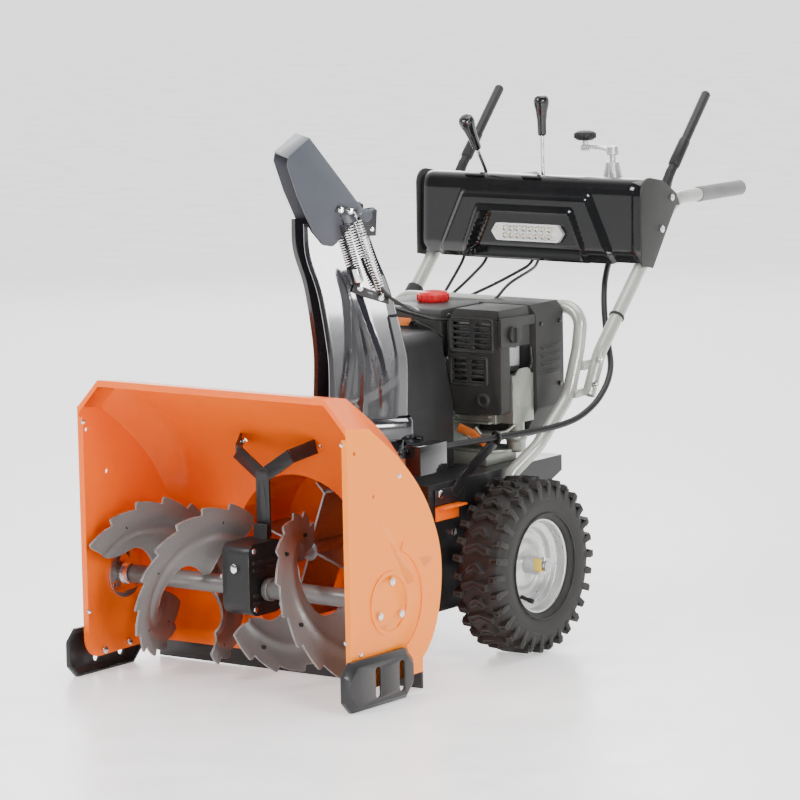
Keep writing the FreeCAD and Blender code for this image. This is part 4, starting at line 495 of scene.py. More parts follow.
def bentPath(points, bends, steps=10):
    # straight runs of tube joined by round bends
    points = [Vector(p) for p in points]
    path = [points[0]]
    for i, bend in enumerate(bends, start=1):
        back = (points[i - 1] - points[i]).normalized()
        ahead = (points[i + 1] - points[i]).normalized()
        half = back.angle(ahead) / 2
        middle = points[i] + (back + ahead).normalized() * (bend / math.sin(half))
        enter = points[i] + back * (bend / math.tan(half)) - middle
        leave = points[i] + ahead * (bend / math.tan(half)) - middle
        for k in range(steps + 1):
            path.append(middle + enter.slerp(leave, k / steps).normalized() * bend)
    return path + [points[-1]]


def sweptMesh(name, path, radius, steps=24, caps=True):
    # a round section carried along a path without twist; radius may change along it
    rings = []
    side = None
    for i, point in enumerate(path):
        run = (path[min(i + 1, len(path) - 1)] - path[max(i - 1, 0)]).normalized()
        if side is None:
            side = axisFrame(run)[1]
        side = (side - run * side.dot(run)).normalized()
        other = run.cross(side)
        r = radius[i] if isinstance(radius, (list, tuple)) else radius
        turns = [2 * math.pi * k / steps for k in range(steps)]
        rings.append([point + side * (r * math.cos(a)) + other * (r * math.sin(a)) for a in turns])
    return loftMesh(name, rings, caps=caps)


def at(x, y, z):
    return Vector((x, y + front, z))


# node trees for what repeats
def repeatTree(name, *inputs):
    return groupTree(name, [("Geometry", "Geometry", None), *inputs, ("Finish", "Material", None)],
                     [("Geometry", "Geometry")], "GeometryNodeTree")


def endTree(tree, start, end, geometry):
    real = added(tree, "GeometryNodeRealizeInstances")
    coat = added(tree, "GeometryNodeSetMaterial")
    wire(tree, (geometry, real.inputs["Geometry"]), (real.outputs["Geometry"], coat.inputs["Geometry"]),
         (start.outputs["Finish"], coat.inputs["Material"]),
         (coat.outputs["Geometry"], end.inputs["Geometry"]))
    return tree


def buildRing():
    # copies set round an axis through the origin
    tree, start, end = repeatTree("aroundAxis", ("Count", "Int", 12), ("Axis", "Vector", (1, 0, 0)),
                                  ("First", "Float", 0))
    points = added(tree, "GeometryNodePoints")
    index = added(tree, "GeometryNodeInputIndex")
    copies = added(tree, "GeometryNodeInstanceOnPoints")
    spin = added(tree, "ShaderNodeVectorMath", "SCALE")
    step = mathNode(tree, "DIVIDE", math.tau, start.outputs["Count"])
    angle = mathNode(tree, "ADD", mathNode(tree, "MULTIPLY", index.outputs[0], step),
                     start.outputs["First"])
    wire(tree, (start.outputs["Count"], points.inputs["Count"]),
         (points.outputs[0], copies.inputs["Points"]),
         (start.outputs["Geometry"], copies.inputs["Instance"]),
         (start.outputs["Axis"], spin.inputs[0]),
         (angle, spin.inputs["Scale"]), (spin.outputs[0], copies.inputs["Rotation"]))
    return endTree(tree, start, end, copies.outputs["Instances"])


def buildRow():
    # copies in a block of rows and columns
    tree, start, end = repeatTree("inRows", ("Count", "Int", 4), ("Step", "Vector", (0, 0, 1)),
                                  ("Rows", "Int", 1), ("Row Step", "Vector", (1, 0, 0)))
    points = added(tree, "GeometryNodePoints")
    index = added(tree, "GeometryNodeInputIndex")
    copies = added(tree, "GeometryNodeInstanceOnPoints")
    count = start.outputs["Count"]
    total = mathNode(tree, "MULTIPLY", count, start.outputs["Rows"])
    row = mathNode(tree, "FLOOR", mathNode(tree, "DIVIDE", index.outputs[0], count), 0)
    column = mathNode(tree, "SUBTRACT", index.outputs[0], mathNode(tree, "MULTIPLY", row, count))
    both = added(tree, "ShaderNodeVectorMath")
    for number, label, place in ((column, "Step", 0), (row, "Row Step", 1)):
        shift = added(tree, "ShaderNodeVectorMath", "SCALE")
        wire(tree, (start.outputs[label], shift.inputs[0]), (number, shift.inputs["Scale"]),
             (shift.outputs[0], both.inputs[place]))
    wire(tree, (total, points.inputs["Count"]), (both.outputs[0], points.inputs["Position"]),
         (points.outputs[0], copies.inputs["Points"]), (start.outputs["Geometry"],
                                                        copies.inputs["Instance"]))
    return endTree(tree, start, end, copies.outputs["Instances"])


def buildCoil():
    # a round wire wound into a spring along Z
    tree, start, end = repeatTree("coil", ("Turns", "Float", 20), ("Radius", "Float", 6),
                                  ("Height", "Float", 80), ("Wire", "Float", 1))
    spiral = added(tree, "GeometryNodeCurveSpiral", Resolution=14)
    section = added(tree, "GeometryNodeCurvePrimitiveCircle", Resolution=8)
    skin = added(tree, "GeometryNodeCurveToMesh", Fill_Caps=True)
    radius = start.outputs["Radius"]
    wire(tree, (start.outputs["Turns"], spiral.inputs["Rotations"]),
         (radius, spiral.inputs["Start Radius"]),
         (radius, spiral.inputs["End Radius"]), (start.outputs["Height"], spiral.inputs["Height"]),
         (start.outputs["Wire"], section.inputs["Radius"]), (spiral.outputs[0], skin.inputs["Curve"]),
         (section.outputs["Curve"], skin.inputs["Profile Curve"]))
    return endTree(tree, start, end, skin.outputs["Mesh"])


def buildSpots():
    # copies standing on points, each turned by the point's own rotation
    tree, start, end = repeatTree("onSpots", ("Spots", "Object", None))
    spots = added(tree, "GeometryNodeObjectInfo")
    points = added(tree, "GeometryNodeMeshToPoints")
    copies = added(tree, "GeometryNodeInstanceOnPoints")
    turn = added(tree, "GeometryNodeInputNamedAttribute")
    turn.data_type = "FLOAT_VECTOR"
    turn.inputs["Name"].default_value = "turn"
    wire(tree, (start.outputs["Spots"], spots.inputs["Object"]),
         (spots.outputs["Geometry"], points.inputs["Mesh"]),
         (points.outputs[0], copies.inputs["Points"]),
         (start.outputs["Geometry"], copies.inputs["Instance"]),
         (turn.outputs[0], copies.inputs["Rotation"]))
    return endTree(tree, start, end, copies.outputs["Instances"])


ringTree, rowTree, coilTree, spotTree = buildRing(), buildRow(), buildCoil(), buildSpots()


def grown(mesh, tree, paint, **values):
    # runs a node tree on a mesh and returns the plain result
    holder = bpy.data.objects.new("work", mesh or bpy.data.meshes.new("seed"))
    bpy.context.collection.objects.link(holder)
    modifier = holder.modifiers.new("nodes", "NODES")
    modifier.node_group = tree
    values = {"Finish": paints[paint], **{key.replace("_", " "): item for key, item in values.items()}}
    for item in tree.interface.items_tree:
        if item.in_out == "INPUT" and item.name in values:
            modifier[item.identifier] = values[item.name]
    result = evaluatedMesh(holder)
    holder.modifiers.remove(modifier)
    bpy.data.objects.remove(holder)
    return result


def onSpots(mesh, spots, paint):
    # spots: (place, direction that the copy's own Z takes)
    holder = bpy.data.meshes.new("spots")
    holder.from_pydata([tuple(place) for place, way in spots], [], [])
    turns = holder.attributes.new("turn", "FLOAT_VECTOR", "POINT")
    for item, (place, way) in zip(turns.data, spots):
        item.vector = Vector(way).to_track_quat("Z", "Y").to_euler()
    points = bpy.data.objects.new("spots", holder)
    bpy.context.collection.objects.link(points)
    result = grown(mesh, spotTree, paint, Spots=points)
    bpy.data.objects.remove(points)
    return result


# bolts
boltSizes = {"across": 12.4, "tall": 5, "washer": 15, "washerTall": 1.2, "stud": 3.8, "studTall": 3.4}


def boltMesh(scale=1.0, stud=True):
    b = {key: item * scale for key, item in boltSizes.items()}
    far = b["across"] / math.sqrt(3)
    hexOutline = [(far * math.cos(math.radians(60 * k)),
                   far * math.sin(math.radians(60 * k))) for k in range(6)]
    parts = [turnedMesh("washer", softened([(0, 0.1), (0, b["washer"] / 2),
                                            (b["washerTall"], b["washer"] / 2),
                                            (b["washerTall"], 0.1)], 0.4, 2), (0, 0, 1), steps=24),
             prismMesh("head", hexOutline, "Z", b["washerTall"], b["tall"], 0.5 * scale)]
    if stud:
        parts.append(turnedMesh("stud", [(0, 0), (0, b["stud"]),
                                         (b["tall"] + b["studTall"] - 1, b["stud"]),
                                         (b["tall"] + b["studTall"], b["stud"] - 1),
                                         (b["tall"] + b["studTall"], 0)],
                                (0, 0, 1), steps=16))
    return joined("bolt", parts)


# augers
flight = {"radius": 147, "tooth": 13, "ribbon": 68, "wall": 4, "sleeve": 17, "outer": 276, "inner": 48,
          "sweep": 272, "teeth": 12, "spokes": (0.25, 0.80), "spokeWidth": 0.075, "bead": 5.5,
          "beadWidth": 7,
          "beadAt": 0.40, "steps": 264, "across": 18, "holeAt": 112}


def flightMesh(first):
    f = flight
    root = f["radius"] - f["tooth"]
    shares = [k / f["steps"] for k in range(f["steps"] + 1)]
    outerRows, innerRows = [], []
    for share in shares:
        turn = math.radians(first + f["sweep"] * share)
        x = f["outer"] + (f["inner"] - f["outer"]) * share
        reach = max(math.exp(-((share - spoke) / f["spokeWidth"]) ** 2) for spoke in f["spokes"])
        ends = min(share, 1 - share) * f["sweep"] / 16
        inner = root - f["ribbon"] + 18 * max(0, 1 - ends) ** 2
        inner = inner - (inner - f["sleeve"] + 4) * reach
        step = (share * f["teeth"]) % 1
        if step < 0.06:
            outer = root + f["tooth"] * step / 0.06
        else:
            outer = root + f["tooth"] * (1 - step) / 0.94
        for rows, skin in ((outerRows, 1), (innerRows, -1)):
            row = []
            for j in range(f["across"] + 1):
                v = j / f["across"]
                r = inner + (outer - inner) * v
                ridge = root - f["ribbon"] * (1 - f["beadAt"])
                lift = f["bead"] * math.exp(-((r - ridge) / f["beadWidth"]) ** 2)
                dish = -3.0 * math.exp(-((r - ridge - 22) / 16) ** 2)
                scoop = 9 * reach * max(0, 1 - (r - f["sleeve"]) / 45) ** 2
                along = x + lift + dish + scoop + skin * f["wall"] / 2
                row.append(Vector((along, -r * math.cos(turn), r * math.sin(turn))))
            rows.append(row)
    rings = [a + b[::-1] for a, b in zip(outerRows, innerRows)]
    return loftMesh("flight", rings)


def makeAuger(node, side, phase):
    y, z = hub["auger"]
    sleeve = turnedMesh("sleeve", [(33, 10), (33, 16), (34, 17), (277, 17), (278, 16), (278, 10)],
                        (1, 0, 0), steps=48)
    collar = ringMesh("collar", 34, 46, 16, 21, 1.5, (1, 0, 0), steps=40)
    blades = [flightMesh(phase), flightMesh(phase + 180)]
    mesh = joined(node, [sleeve, collar] + blades)
    shear = [(Vector((x, -15 * math.cos(a), 15 * math.sin(a))), (0, -math.cos(a), math.sin(a)))
             for x, a in ((64, 1.1), (64, 1.1 + math.pi), (226, 0.9), (226, 0.9 + math.pi))]
    bolts = onSpots(boltMesh(0.8), shear, "chrome")
    holes = []
    for first in (phase, phase + 180):
        for share in (0.12, 0.38, 0.62, 0.9):
            turn = math.radians(first + flight["sweep"] * share)
            x = flight["outer"] + (flight["inner"] - flight["outer"]) * share
            r = flight["holeAt"]
            holes.append((Vector((x - 4.4, -r * math.cos(turn), r * math.sin(turn))), (1, 0, 0)))
    plug = turnedMesh("hole", [(0, 0), (0, 3.6), (8.2, 3.6), (8.2, 0)], (0, 0, 1), steps=16)
    plugs = onSpots(plug, holes, "rubber")
    pieces = [(mesh, node + "Flights", "auger", "grey_steel"),
              (bolts, node + "ShearBolts", "chrome", "bright_chrome"),
              (plugs, node + "Holes", "rubber", "black_rubber")]
    for item, name, paint, slot in pieces:
        if side < 0:
            item.transform(Matrix.Scale(-1, 4, (1, 0, 0)))
            item.flip_normals()
        moved(item, (0, y + front, z))
        pieceFrom(name, item, paint, "auger_set", [node] if paint == "auger" else (), smooth=50)


makeAuger("auger_left", 1, 60)
makeAuger("auger_right", -1, 28)
print("augers made")

# wheels
wheel = {"x": 264, "radius": 165, "half": 51, "rim": 86, "lug": 11, "pitch": 15}
pin = {"x": 312, "ring": 15.5, "wire": 1.3, "radius": 2.6, "low": -14, "high": 18}


def carcassMesh(x):
    w, half = wheel, wheel["half"]
    tread = w["radius"] - w["lug"]
    outer = [(-half + 12, w["rim"] + 1), (-half + 7, w["rim"] + 4), (-half + 2, w["rim"] + 16),
             (-half, w["rim"] + 34),
             (-half + 2, tread - 16), (-half + 9, tread - 5), (-half + 22, tread), (0, tread + 1.5),
             (half - 22, tread),
             (half - 9, tread - 5), (half - 2, tread - 16), (half, w["rim"] + 34),
             (half - 2, w["rim"] + 16),
             (half - 7, w["rim"] + 4), (half - 12, w["rim"] + 1)]
    inner = [(half - 18, w["rim"] + 1), (half - 12, w["rim"] + 30), (half - 18, tread - 14),
             (-half + 18, tread - 14),
             (-half + 12, w["rim"] + 30), (-half + 18, w["rim"] + 1)]
    return turnedMesh("carcass", softened(outer + inner, 5, 3), (1, 0, 0), (x, 0, 0), steps=120)


def lugMesh(outline, low, high, recess=2.2, rim=2.6):
    # a tread block with a sunken top inside a raised rim; x across, y round, z out
    def ring(z, inset):
        points = []
        count = len(outline)
        for i, (x, y) in enumerate(outline):
            here = Vector((x, y))
            a = (here - Vector(outline[i - 1])).normalized()
            b = (Vector(outline[(i + 1) % count]) - here).normalized()
            normal = Vector((-a.y, a.x))
            other = Vector((-b.y, b.x))
            way = (normal + other).normalized()
            points.append(Vector((*(here + way * (inset / max(0.5, way.dot(normal)))), z)))
        return points
    rings = [ring(low, -1.6), ring(high - 0.6, 0), ring(high, 0.5), ring(high, rim),
             ring(high - recess, rim + 0.5)]
    return loftMesh("lug", rings)


def makeTyres():
    w = wheel
    base = w["radius"] - w["lug"] - 2
    top = w["radius"] - 0.6
    wide = [(-27, -6), (-20, -9), (0, 1), (20, -9), (27, -6), (27, 5), (18, 7), (0, 13), (-18, 7),
            (-27, 5)]
    narrow = [(-19, -5), (-13, -9), (0, -2), (13, -9), (19, -5), (8, 8), (0, 11), (-8, 8)]
    meshes = []
    for side in (-1, 1):
        x = side * w["x"]
        centre = [grown(lugMesh(wide, base, top), ringTree, "tyre", Count=w["pitch"], First=0.0),
                  grown(lugMesh(narrow, base, top), ringTree, "tyre", Count=w["pitch"],
                        First=math.pi / w["pitch"])]
        shoulders = []
        for hand in (-1, 1):
            for k, (length, shift) in enumerate(((17, 0.25), (13, 0.75))):
                cap = [(hand * 32, -8), (hand * (32 + length), -6), (hand * (32 + length), 5),
                       (hand * 32, 3)]
                block = lugMesh(cap if hand > 0 else cap[::-1], base - 3, top - 3.2, 1.8, 2.2)
                flank = prismMesh("flank", [(hand * 46, base - 24 + k * 6),
                                            (hand * 50.6, base - 26 + k * 6),
                                            (hand * 50.6, top - 9), (hand * 46, top - 6)], "Y", -5.5,
                                  5.5, 1.2)
                shoulders.append(grown(joined("shoulder", [block, flank]), ringTree, "tyre",
                                       Count=w["pitch"],
                                       First=math.tau * shift / w["pitch"]))
        item = joined("tread", centre + shoulders)
        item.transform(Matrix.Translation((x, 0, 0)))
        meshes += [carcassMesh(x), item]
        for hand in (-1, 1):
            for r, proud in ((w["rim"] + 12, 1.2), (w["rim"] + 40, 0.9)):
                root = x + hand * (w["half"] - 4)
                crest = x + hand * (w["half"] + proud - 1.2)
                bead = softened([(root, r - 1.6), (root, r + 1.6), (crest, r + 1), (crest, r - 1)], 0.6,
                                2)
                meshes.append(turnedMesh("bead", bead, (1, 0, 0), steps=96))
    mesh = joined("tyresLook", meshes)
    moved(mesh, at(0, *hub["wheel"]))
    pieceFrom("tyresLook", mesh, "tyre", "wheel_set", ["tyres"], smooth=38)


def makeRims():
    w = wheel
    meshes, tags, valves = [], [], []
    place = at(0, *hub["wheel"])
    for side in (-1, 1):
        barrel = [(-41, 93), (-38, 95), (-37, 86), (-20, 84), (-16, 72), (14, 72), (18, 84), (34, 86),
                  (37, 95), (41, 93),
                  (41, 90), (38.4, 90), (37, 83.5), (19, 81.5), (15, 69.5), (-17, 69.5), (-21, 81.5),
                  (-38, 83.5), (-38.4, 90), (-41, 90)]
        dish = [(2, 71), (2.5, 66), (-2, 60), (-3, 48), (1, 40), (2, 24), (6, 16), (8.5, 16), (5, 26),
                (4, 41), (0, 49),
                (1, 59), (5, 64), (5, 71)]
        tube = [(-77, 10.2), (-77, 16), (-76, 17), (44, 17), (45, 16), (45, 10.2)]
        for outline, soft in ((barrel, 1.6), (dish, 2.5), (tube, 0.8)):
            profile = [(side * w["x"] + side * h, r) for h, r in outline]
            meshes.append(turnedMesh("rim", softened(profile, soft, 3), (1, 0, 0), steps=96))
        x = side * (w["x"] + 20)
        valves.append(turnedMesh("valve", [(0, 0), (0, 4), (15, 3.5), (17, 4.6), (27, 4.6), (28, 3.5),
                                           (28, 0)],
                                 (side, 0, -0.25), (x, -38, -54), steps=20))
    pieceFrom("rimsLook", moved(joined("rimsLook", meshes), place), "rim", "wheel_set",
              ["wheel_rims"], smooth=40)
    pieceFrom("valveStems", moved(joined("valves", valves), place), "rubber", "wheel_set")
    rings = []
    for side in (-1, 1):
        x = side * pin["x"]
        r = pin["ring"]
        turns = [math.tau * k / 40 for k in range(40)]
        loop = [Vector((x + 2.2 * math.sin(a * 2), r * math.cos(a), r * math.sin(a))) for a in turns]
        rings.append(sweptMesh("ring", loop + loop[:1], pin["wire"], 8, caps=False))
        shank = [Vector((x - side, 0, pin["low"])), Vector((x - side, 0, pin["high"]))]
        rings.append(sweptMesh("pin", shank, pin["radius"], 12))
    pieceFrom("linchPins", moved(joined("pins", rings), place), "chrome", "wheel_set",
              ["wheel_pins"])
    for side in (-1, 1):
        outline = rectangle(side * 300, -6, side * 316.5, 17)
        tags.append(prismMesh("tag", outline if side > 0 else outline[::-1], "Y", -18.5, -17.3, 0.4))
        tags.append(boxMesh("tagFold", (min(side * 303, side * 316), -18, -8),
                            (max(side * 303, side * 316), 4, -6.8), 0.4))
    pieceFrom("pinTags", moved(joined("tags", tags), place), "tag", "wheel_set")


makeTyres()
makeRims()
print("wheels made")


# chute
chute = {"heading": -131, "x": 105, "y": 341, "ring": 99, "ringLow": 406.5, "ringHigh": 412.3,
         "neck": 58, "collarLow": 428,
         "collarTop": 468, "front": 92, "back": -66, "half": 70, "topHalf": 54, "wall": 3, "top": 826,
         "teeth": 36,
         "rib": 3.2, "ribWidth": 0.04}
chuteLevels = [(467, 92, -30, -60, 0.60), (573, 90, -36, -62, 0.60), (649, 98, -24, -45, 0.60),
               (706, 108, -12, -30, 0.62), (769, 126, 4, -6, 0.66), (826, 128, 22, 10, 0.7)]


def chuteAt(s, t, z):
    a = math.radians(chute["heading"])
    return Vector((chute["x"] + s * math.cos(a) - t * math.sin(a),
                   chute["y"] + front + s * math.sin(a) + t * math.cos(a), z))


def ease(low, high, number):
    share = min(1, max(0, (number - low) / (high - low)))
    return share * share * (3 - 2 * share)


def levelAt(z):
    # a smooth curve through the side view's levels
    last = len(chuteLevels) - 1
    i = max(k for k in range(last) if chuteLevels[k][0] <= z or k == 0)
    a, b = chuteLevels[i], chuteLevels[i + 1]
    before, after = chuteLevels[max(i - 1, 0)], chuteLevels[min(i + 2, last)]
    w = (z - a[0]) / (b[0] - a[0])
    result = []
    for p0, p1, p2, p3 in zip(before[1:], a[1:], b[1:], after[1:]):
        result.append(0.5 * (2 * p1 + (p2 - p0) * w + (2 * p0 - 5 * p1 + 4 * p2 - p3) * w ** 2
                             + (3 * p1 - p0 - 3 * p2 + p3) * w ** 3))
    return result


def chuteSection(z, inset):
    # from the near front edge round the back to the far front edge
    c = chute
    start, crease, back, share = levelAt(z)
    taper = (c["topHalf"] - c["half"]) * (z - c["collarTop"]) / (c["top"] - c["collarTop"])
    half = c["half"] + taper - inset
    flat = half * share
    crease, back = crease + inset, back + inset
    points = []
    for k in range(33):
        u = k / 32
        out = 0
        spread = 0.07 + 0.23 * (1 - ease(480, 700, z))
        for place in (-1, 0, 1):
            ridge = math.exp(-((u - 0.52 - place * spread) / c["ribWidth"]) ** 2)
            out += c["rib"] * ridge * (1 - ease(690, 750, z))
        out *= ease(470, 500, z)
        out -= 2.6 * (1 - ease(0, 10, z - 486 - 46 * u * u))
        out += 2.0 * (1 - ease(0.0, 0.05, u))
        points.append((start + (crease - start) * u, half + out))
    for k in range(1, 7):
        points.append((crease + (back - crease) * k / 6, half + (flat - half) * k / 6))
    for k in range(1, 6):
        points.append((back - 2 * math.sin(math.pi * k / 6), flat - flat * k / 6))
    points.append((back - 2, 0))
    return points + [(s, -t) for s, t in points[-2::-1]]


def makeChute():
    c = chute
    rings = []
    for k in range(73):
        z = c["collarTop"] - 1 + (c["top"] - c["collarTop"] + 1) * k / 72
        z = min(z, c["top"] - 0.01)
        outer = [chuteAt(s, t, z) for s, t in chuteSection(z, 0)]
        inner = [chuteAt(s, t, z) for s, t in chuteSection(z, c["wall"])]
        rings.append(outer + inner[::-1])
    channel = loftMesh("channel", rings)
    corners = rectangle(c["back"], -c["half"], c["front"], c["half"])
    def wallRing(inset, z):
        outline = [(s - math.copysign(inset, s), t - math.copysign(inset, t)) for s, t in corners]
        outline = softened(outline, 16, 8)
        return [chuteAt(s, t, z) for s, t in outline]
    def roundRing(radius, z):
        outline = softened(corners, 16, 8)
        return [chuteAt(radius * math.cos(a), radius * math.sin(a),
                        z) for a in [math.atan2(t, s) for s, t in outline]]
    collar = loftMesh("collar", [roundRing(c["neck"] + 8, c["collarLow"]), wallRing(1, c["collarLow"]),
                                 wallRing(0, c["collarLow"] + 2),
                                 wallRing(0, c["collarTop"] - 6), wallRing(-2.5, c["collarTop"]),
                                 wallRing(3, c["collarTop"]),
                                 wallRing(4, c["collarLow"] + 4),
                                 roundRing(c["neck"], c["collarLow"] + 4),
                                 roundRing(c["neck"], c["ringLow"]),
                                 roundRing(c["neck"] + 8, c["ringLow"])], loop=True)
    origin = (c["x"], c["y"] + front, 0)
    ring = ringMesh("ring", c["ringLow"], c["ringHigh"], c["neck"] + 6, c["ring"] - 3, 0.8, (0, 0, 1),
                    origin, 108, 2)
    tooth = prismMesh("tooth", [(c["ring"] - 4, -4.2), (c["ring"] - 0.4, -2.4), (c["ring"] - 0.4, 2.4),
                                (c["ring"] - 4, 4.2)], "Z",
                      c["ringLow"] + 0.1, c["ringHigh"] - 0.1, 0.5)
    teeth = moved(grown(tooth, ringTree, "glossBlack", Count=c["teeth"], Axis=(0, 0, 1), First=0.0),
                  origin)
    pieceFrom("chuteChannel", joined("chuteAll", [channel, collar, ring, teeth]), "chuteBlack", "chute",
              ["chute_channel"], smooth=50)
    # ears that carry the deflector's hinge, with their bolts
    ears, bolts = [], []
    for hand in (-1, 1):
        outline = [(-4, 800), (-7, 846), (0, 852), (20, 850), (31, 834), (31, 800)]
        low = [chuteAt(s, hand * 54.6, z) for s, z in outline]
        high = [chuteAt(s, hand * 58.2, z) for s, z in outline]
        ears.append(rounded(loftMesh("ear", [low, high] if hand > 0 else [high, low]), 0.8))
        outward = chuteAt(0, hand, 0) - chuteAt(0, 0, 0)
        for s, z in ((3, 812), (24, 812)):
            bolts.append((chuteAt(s, hand * 58.2, z), outward))
    pieceFrom("chuteEars", joined("ears", ears), "black", "chute")
    pieceFrom("chuteEarBolts", onSpots(boltMesh(0.5, stud=False), bolts, "chrome"), "chrome", "chute")


springs = {"silver": ((40, 846), (-10, 690), 8.2, 1.45, 26),
           "black": ((64, 842), (32, 716), 7.2, 1.35, 22), "side": 78}


def between(mesh, start, end):
    # stands a mesh made along Z on the line from start to end
    return moved(mesh, start, (end - start).to_track_quat("Z", "Y").to_matrix())


def makeSprings():
    p = springs
    parts = {"chrome": [], "glossBlack": []}
    for label, paint in (("silver", "chrome"), ("black", "glossBlack")):
        (s1, z1), (s0, z0), radius, gauge, turns = p[label]
        low, high = chuteAt(s0, p["side"], z0), chuteAt(s1, p["side"], z1)
        length = (high - low).length
        coil = grown(None, coilTree, paint, Turns=float(turns), Radius=radius, Height=length - 34,
                     Wire=gauge)
        moved(coil, (0, 0, 17))
        hooks = []
        for base, sign in ((0, 1), (length, -1)):
            loop = [Vector((radius * 0.75 * math.sin(a), 0,
                            base + sign * (6 - radius * 0.75 * math.cos(a)))) for a in
                    [math.radians(-60 + 300 * k / 20) for k in range(21)]]
            hooks.append(sweptMesh("hook", loop, gauge, 10))
            hooks.append(sweptMesh("stem", [Vector((0, 0, base + sign * 10)),
                                            Vector((radius * 0.5, 0, base + sign * 18))], gauge, 10))
        parts[paint].append(between(joined("spring", [coil] + hooks), low, high))
    barrel = ringMesh("barrel", 0, 26, 3, 8.4, 1, (0, 0, 1), steps=32, softSteps=3)
    (s1, z1), (s0, z0) = p["black"][0], p["black"][1]
    low, high = chuteAt(s0, p["side"], z0), chuteAt(s1, p["side"], z1)
    parts["chrome"].append(between(moved(barrel, (0, 0, 4)), low, high))
    pieceFrom("springSilver", joined("springSilver", parts["chrome"]), "chrome", "chute",
              ["chute_spring"], smooth=60)
    pieceFrom("springBlack", joined("springBlack", parts["glossBlack"]), "glossBlack", "chute",
              smooth=60)
    plates, bolts = [], []
    outward = chuteAt(0, 1, 0) - chuteAt(0, 0, 0)
    for outline, depth in (([(-22, 676), (-22, 692), (40, 716), (46, 702), (20, 690)], (68, 72)),
                           ([(34, 838), (30, 850), (66, 858), (72, 846)], (66, 69))):
        plates.append(rounded(loftMesh("plate", [[chuteAt(s, depth[0], z) for s, z in outline],
                                                 [chuteAt(s, depth[1], z) for s, z in outline]]), 0.8))
    for s, z, depth in ((-8, 689, 72), (30, 708, 72), (44, 847, 69), (62, 850, 69)):
        bolts.append((chuteAt(s, depth, z), outward))
    pieceFrom("springBrackets", joined("plates", plates), "black", "chute")
    pieceFrom("springBolts", onSpots(boltMesh(0.72), bolts, "chrome"), "chrome", "chute")


makeChute()
makeSprings()
print("chute made")

# console
console = {"half": 262, "wall": 4, "columns": 132, "rows": 66, "recessDeep": 15, "bandOut": 7}
controls = {"speed": -131, "deflector": 4, "crank": 141, "paddle": 246, "slope": -11}


def openCurve(corners, count):
    # an open line with rounded corners, sampled evenly
    path = [Vector(corners[0][:2])]
    for before, here, after in zip(corners, corners[1:], corners[2:]):
        middle = Vector(here[:2])
        back, ahead = Vector(before[:2]) - middle, Vector(after[:2]) - middle
        reach = min(here[2], back.length * 0.48, ahead.length * 0.48)
        start, end = middle + back.normalized() * reach, middle + ahead.normalized() * reach
        shares = [k / 10 for k in range(11)]
        path += [start * (1 - w) ** 2 + middle * 2 * w * (1 - w) + end * w * w for w in shares]
    path.append(Vector(corners[-1][:2]))
    lengths = [0]
    for a, b in zip(path, path[1:]):
        lengths.append(lengths[-1] + (b - a).length)
    points, i = [], 0
    for k in range(count + 1):
        aim = lengths[-1] * k / count
        while i < len(path) - 2 and lengths[i + 1] < aim:
            i += 1
        share = (aim - lengths[i]) / max(1e-6, lengths[i + 1] - lengths[i])
        points.append(path[i].lerp(path[i + 1], min(1, share)))
    return points


def inTrapezoid(x, z, middle, low, high, lowHalf, highHalf, soft):
    # 1 well inside, 0 outside
    half = lowHalf + (highHalf - lowHalf) * (z - low) / (high - low)
    return ease(0, soft, half - abs(x - middle)) * ease(0, soft, high - z)


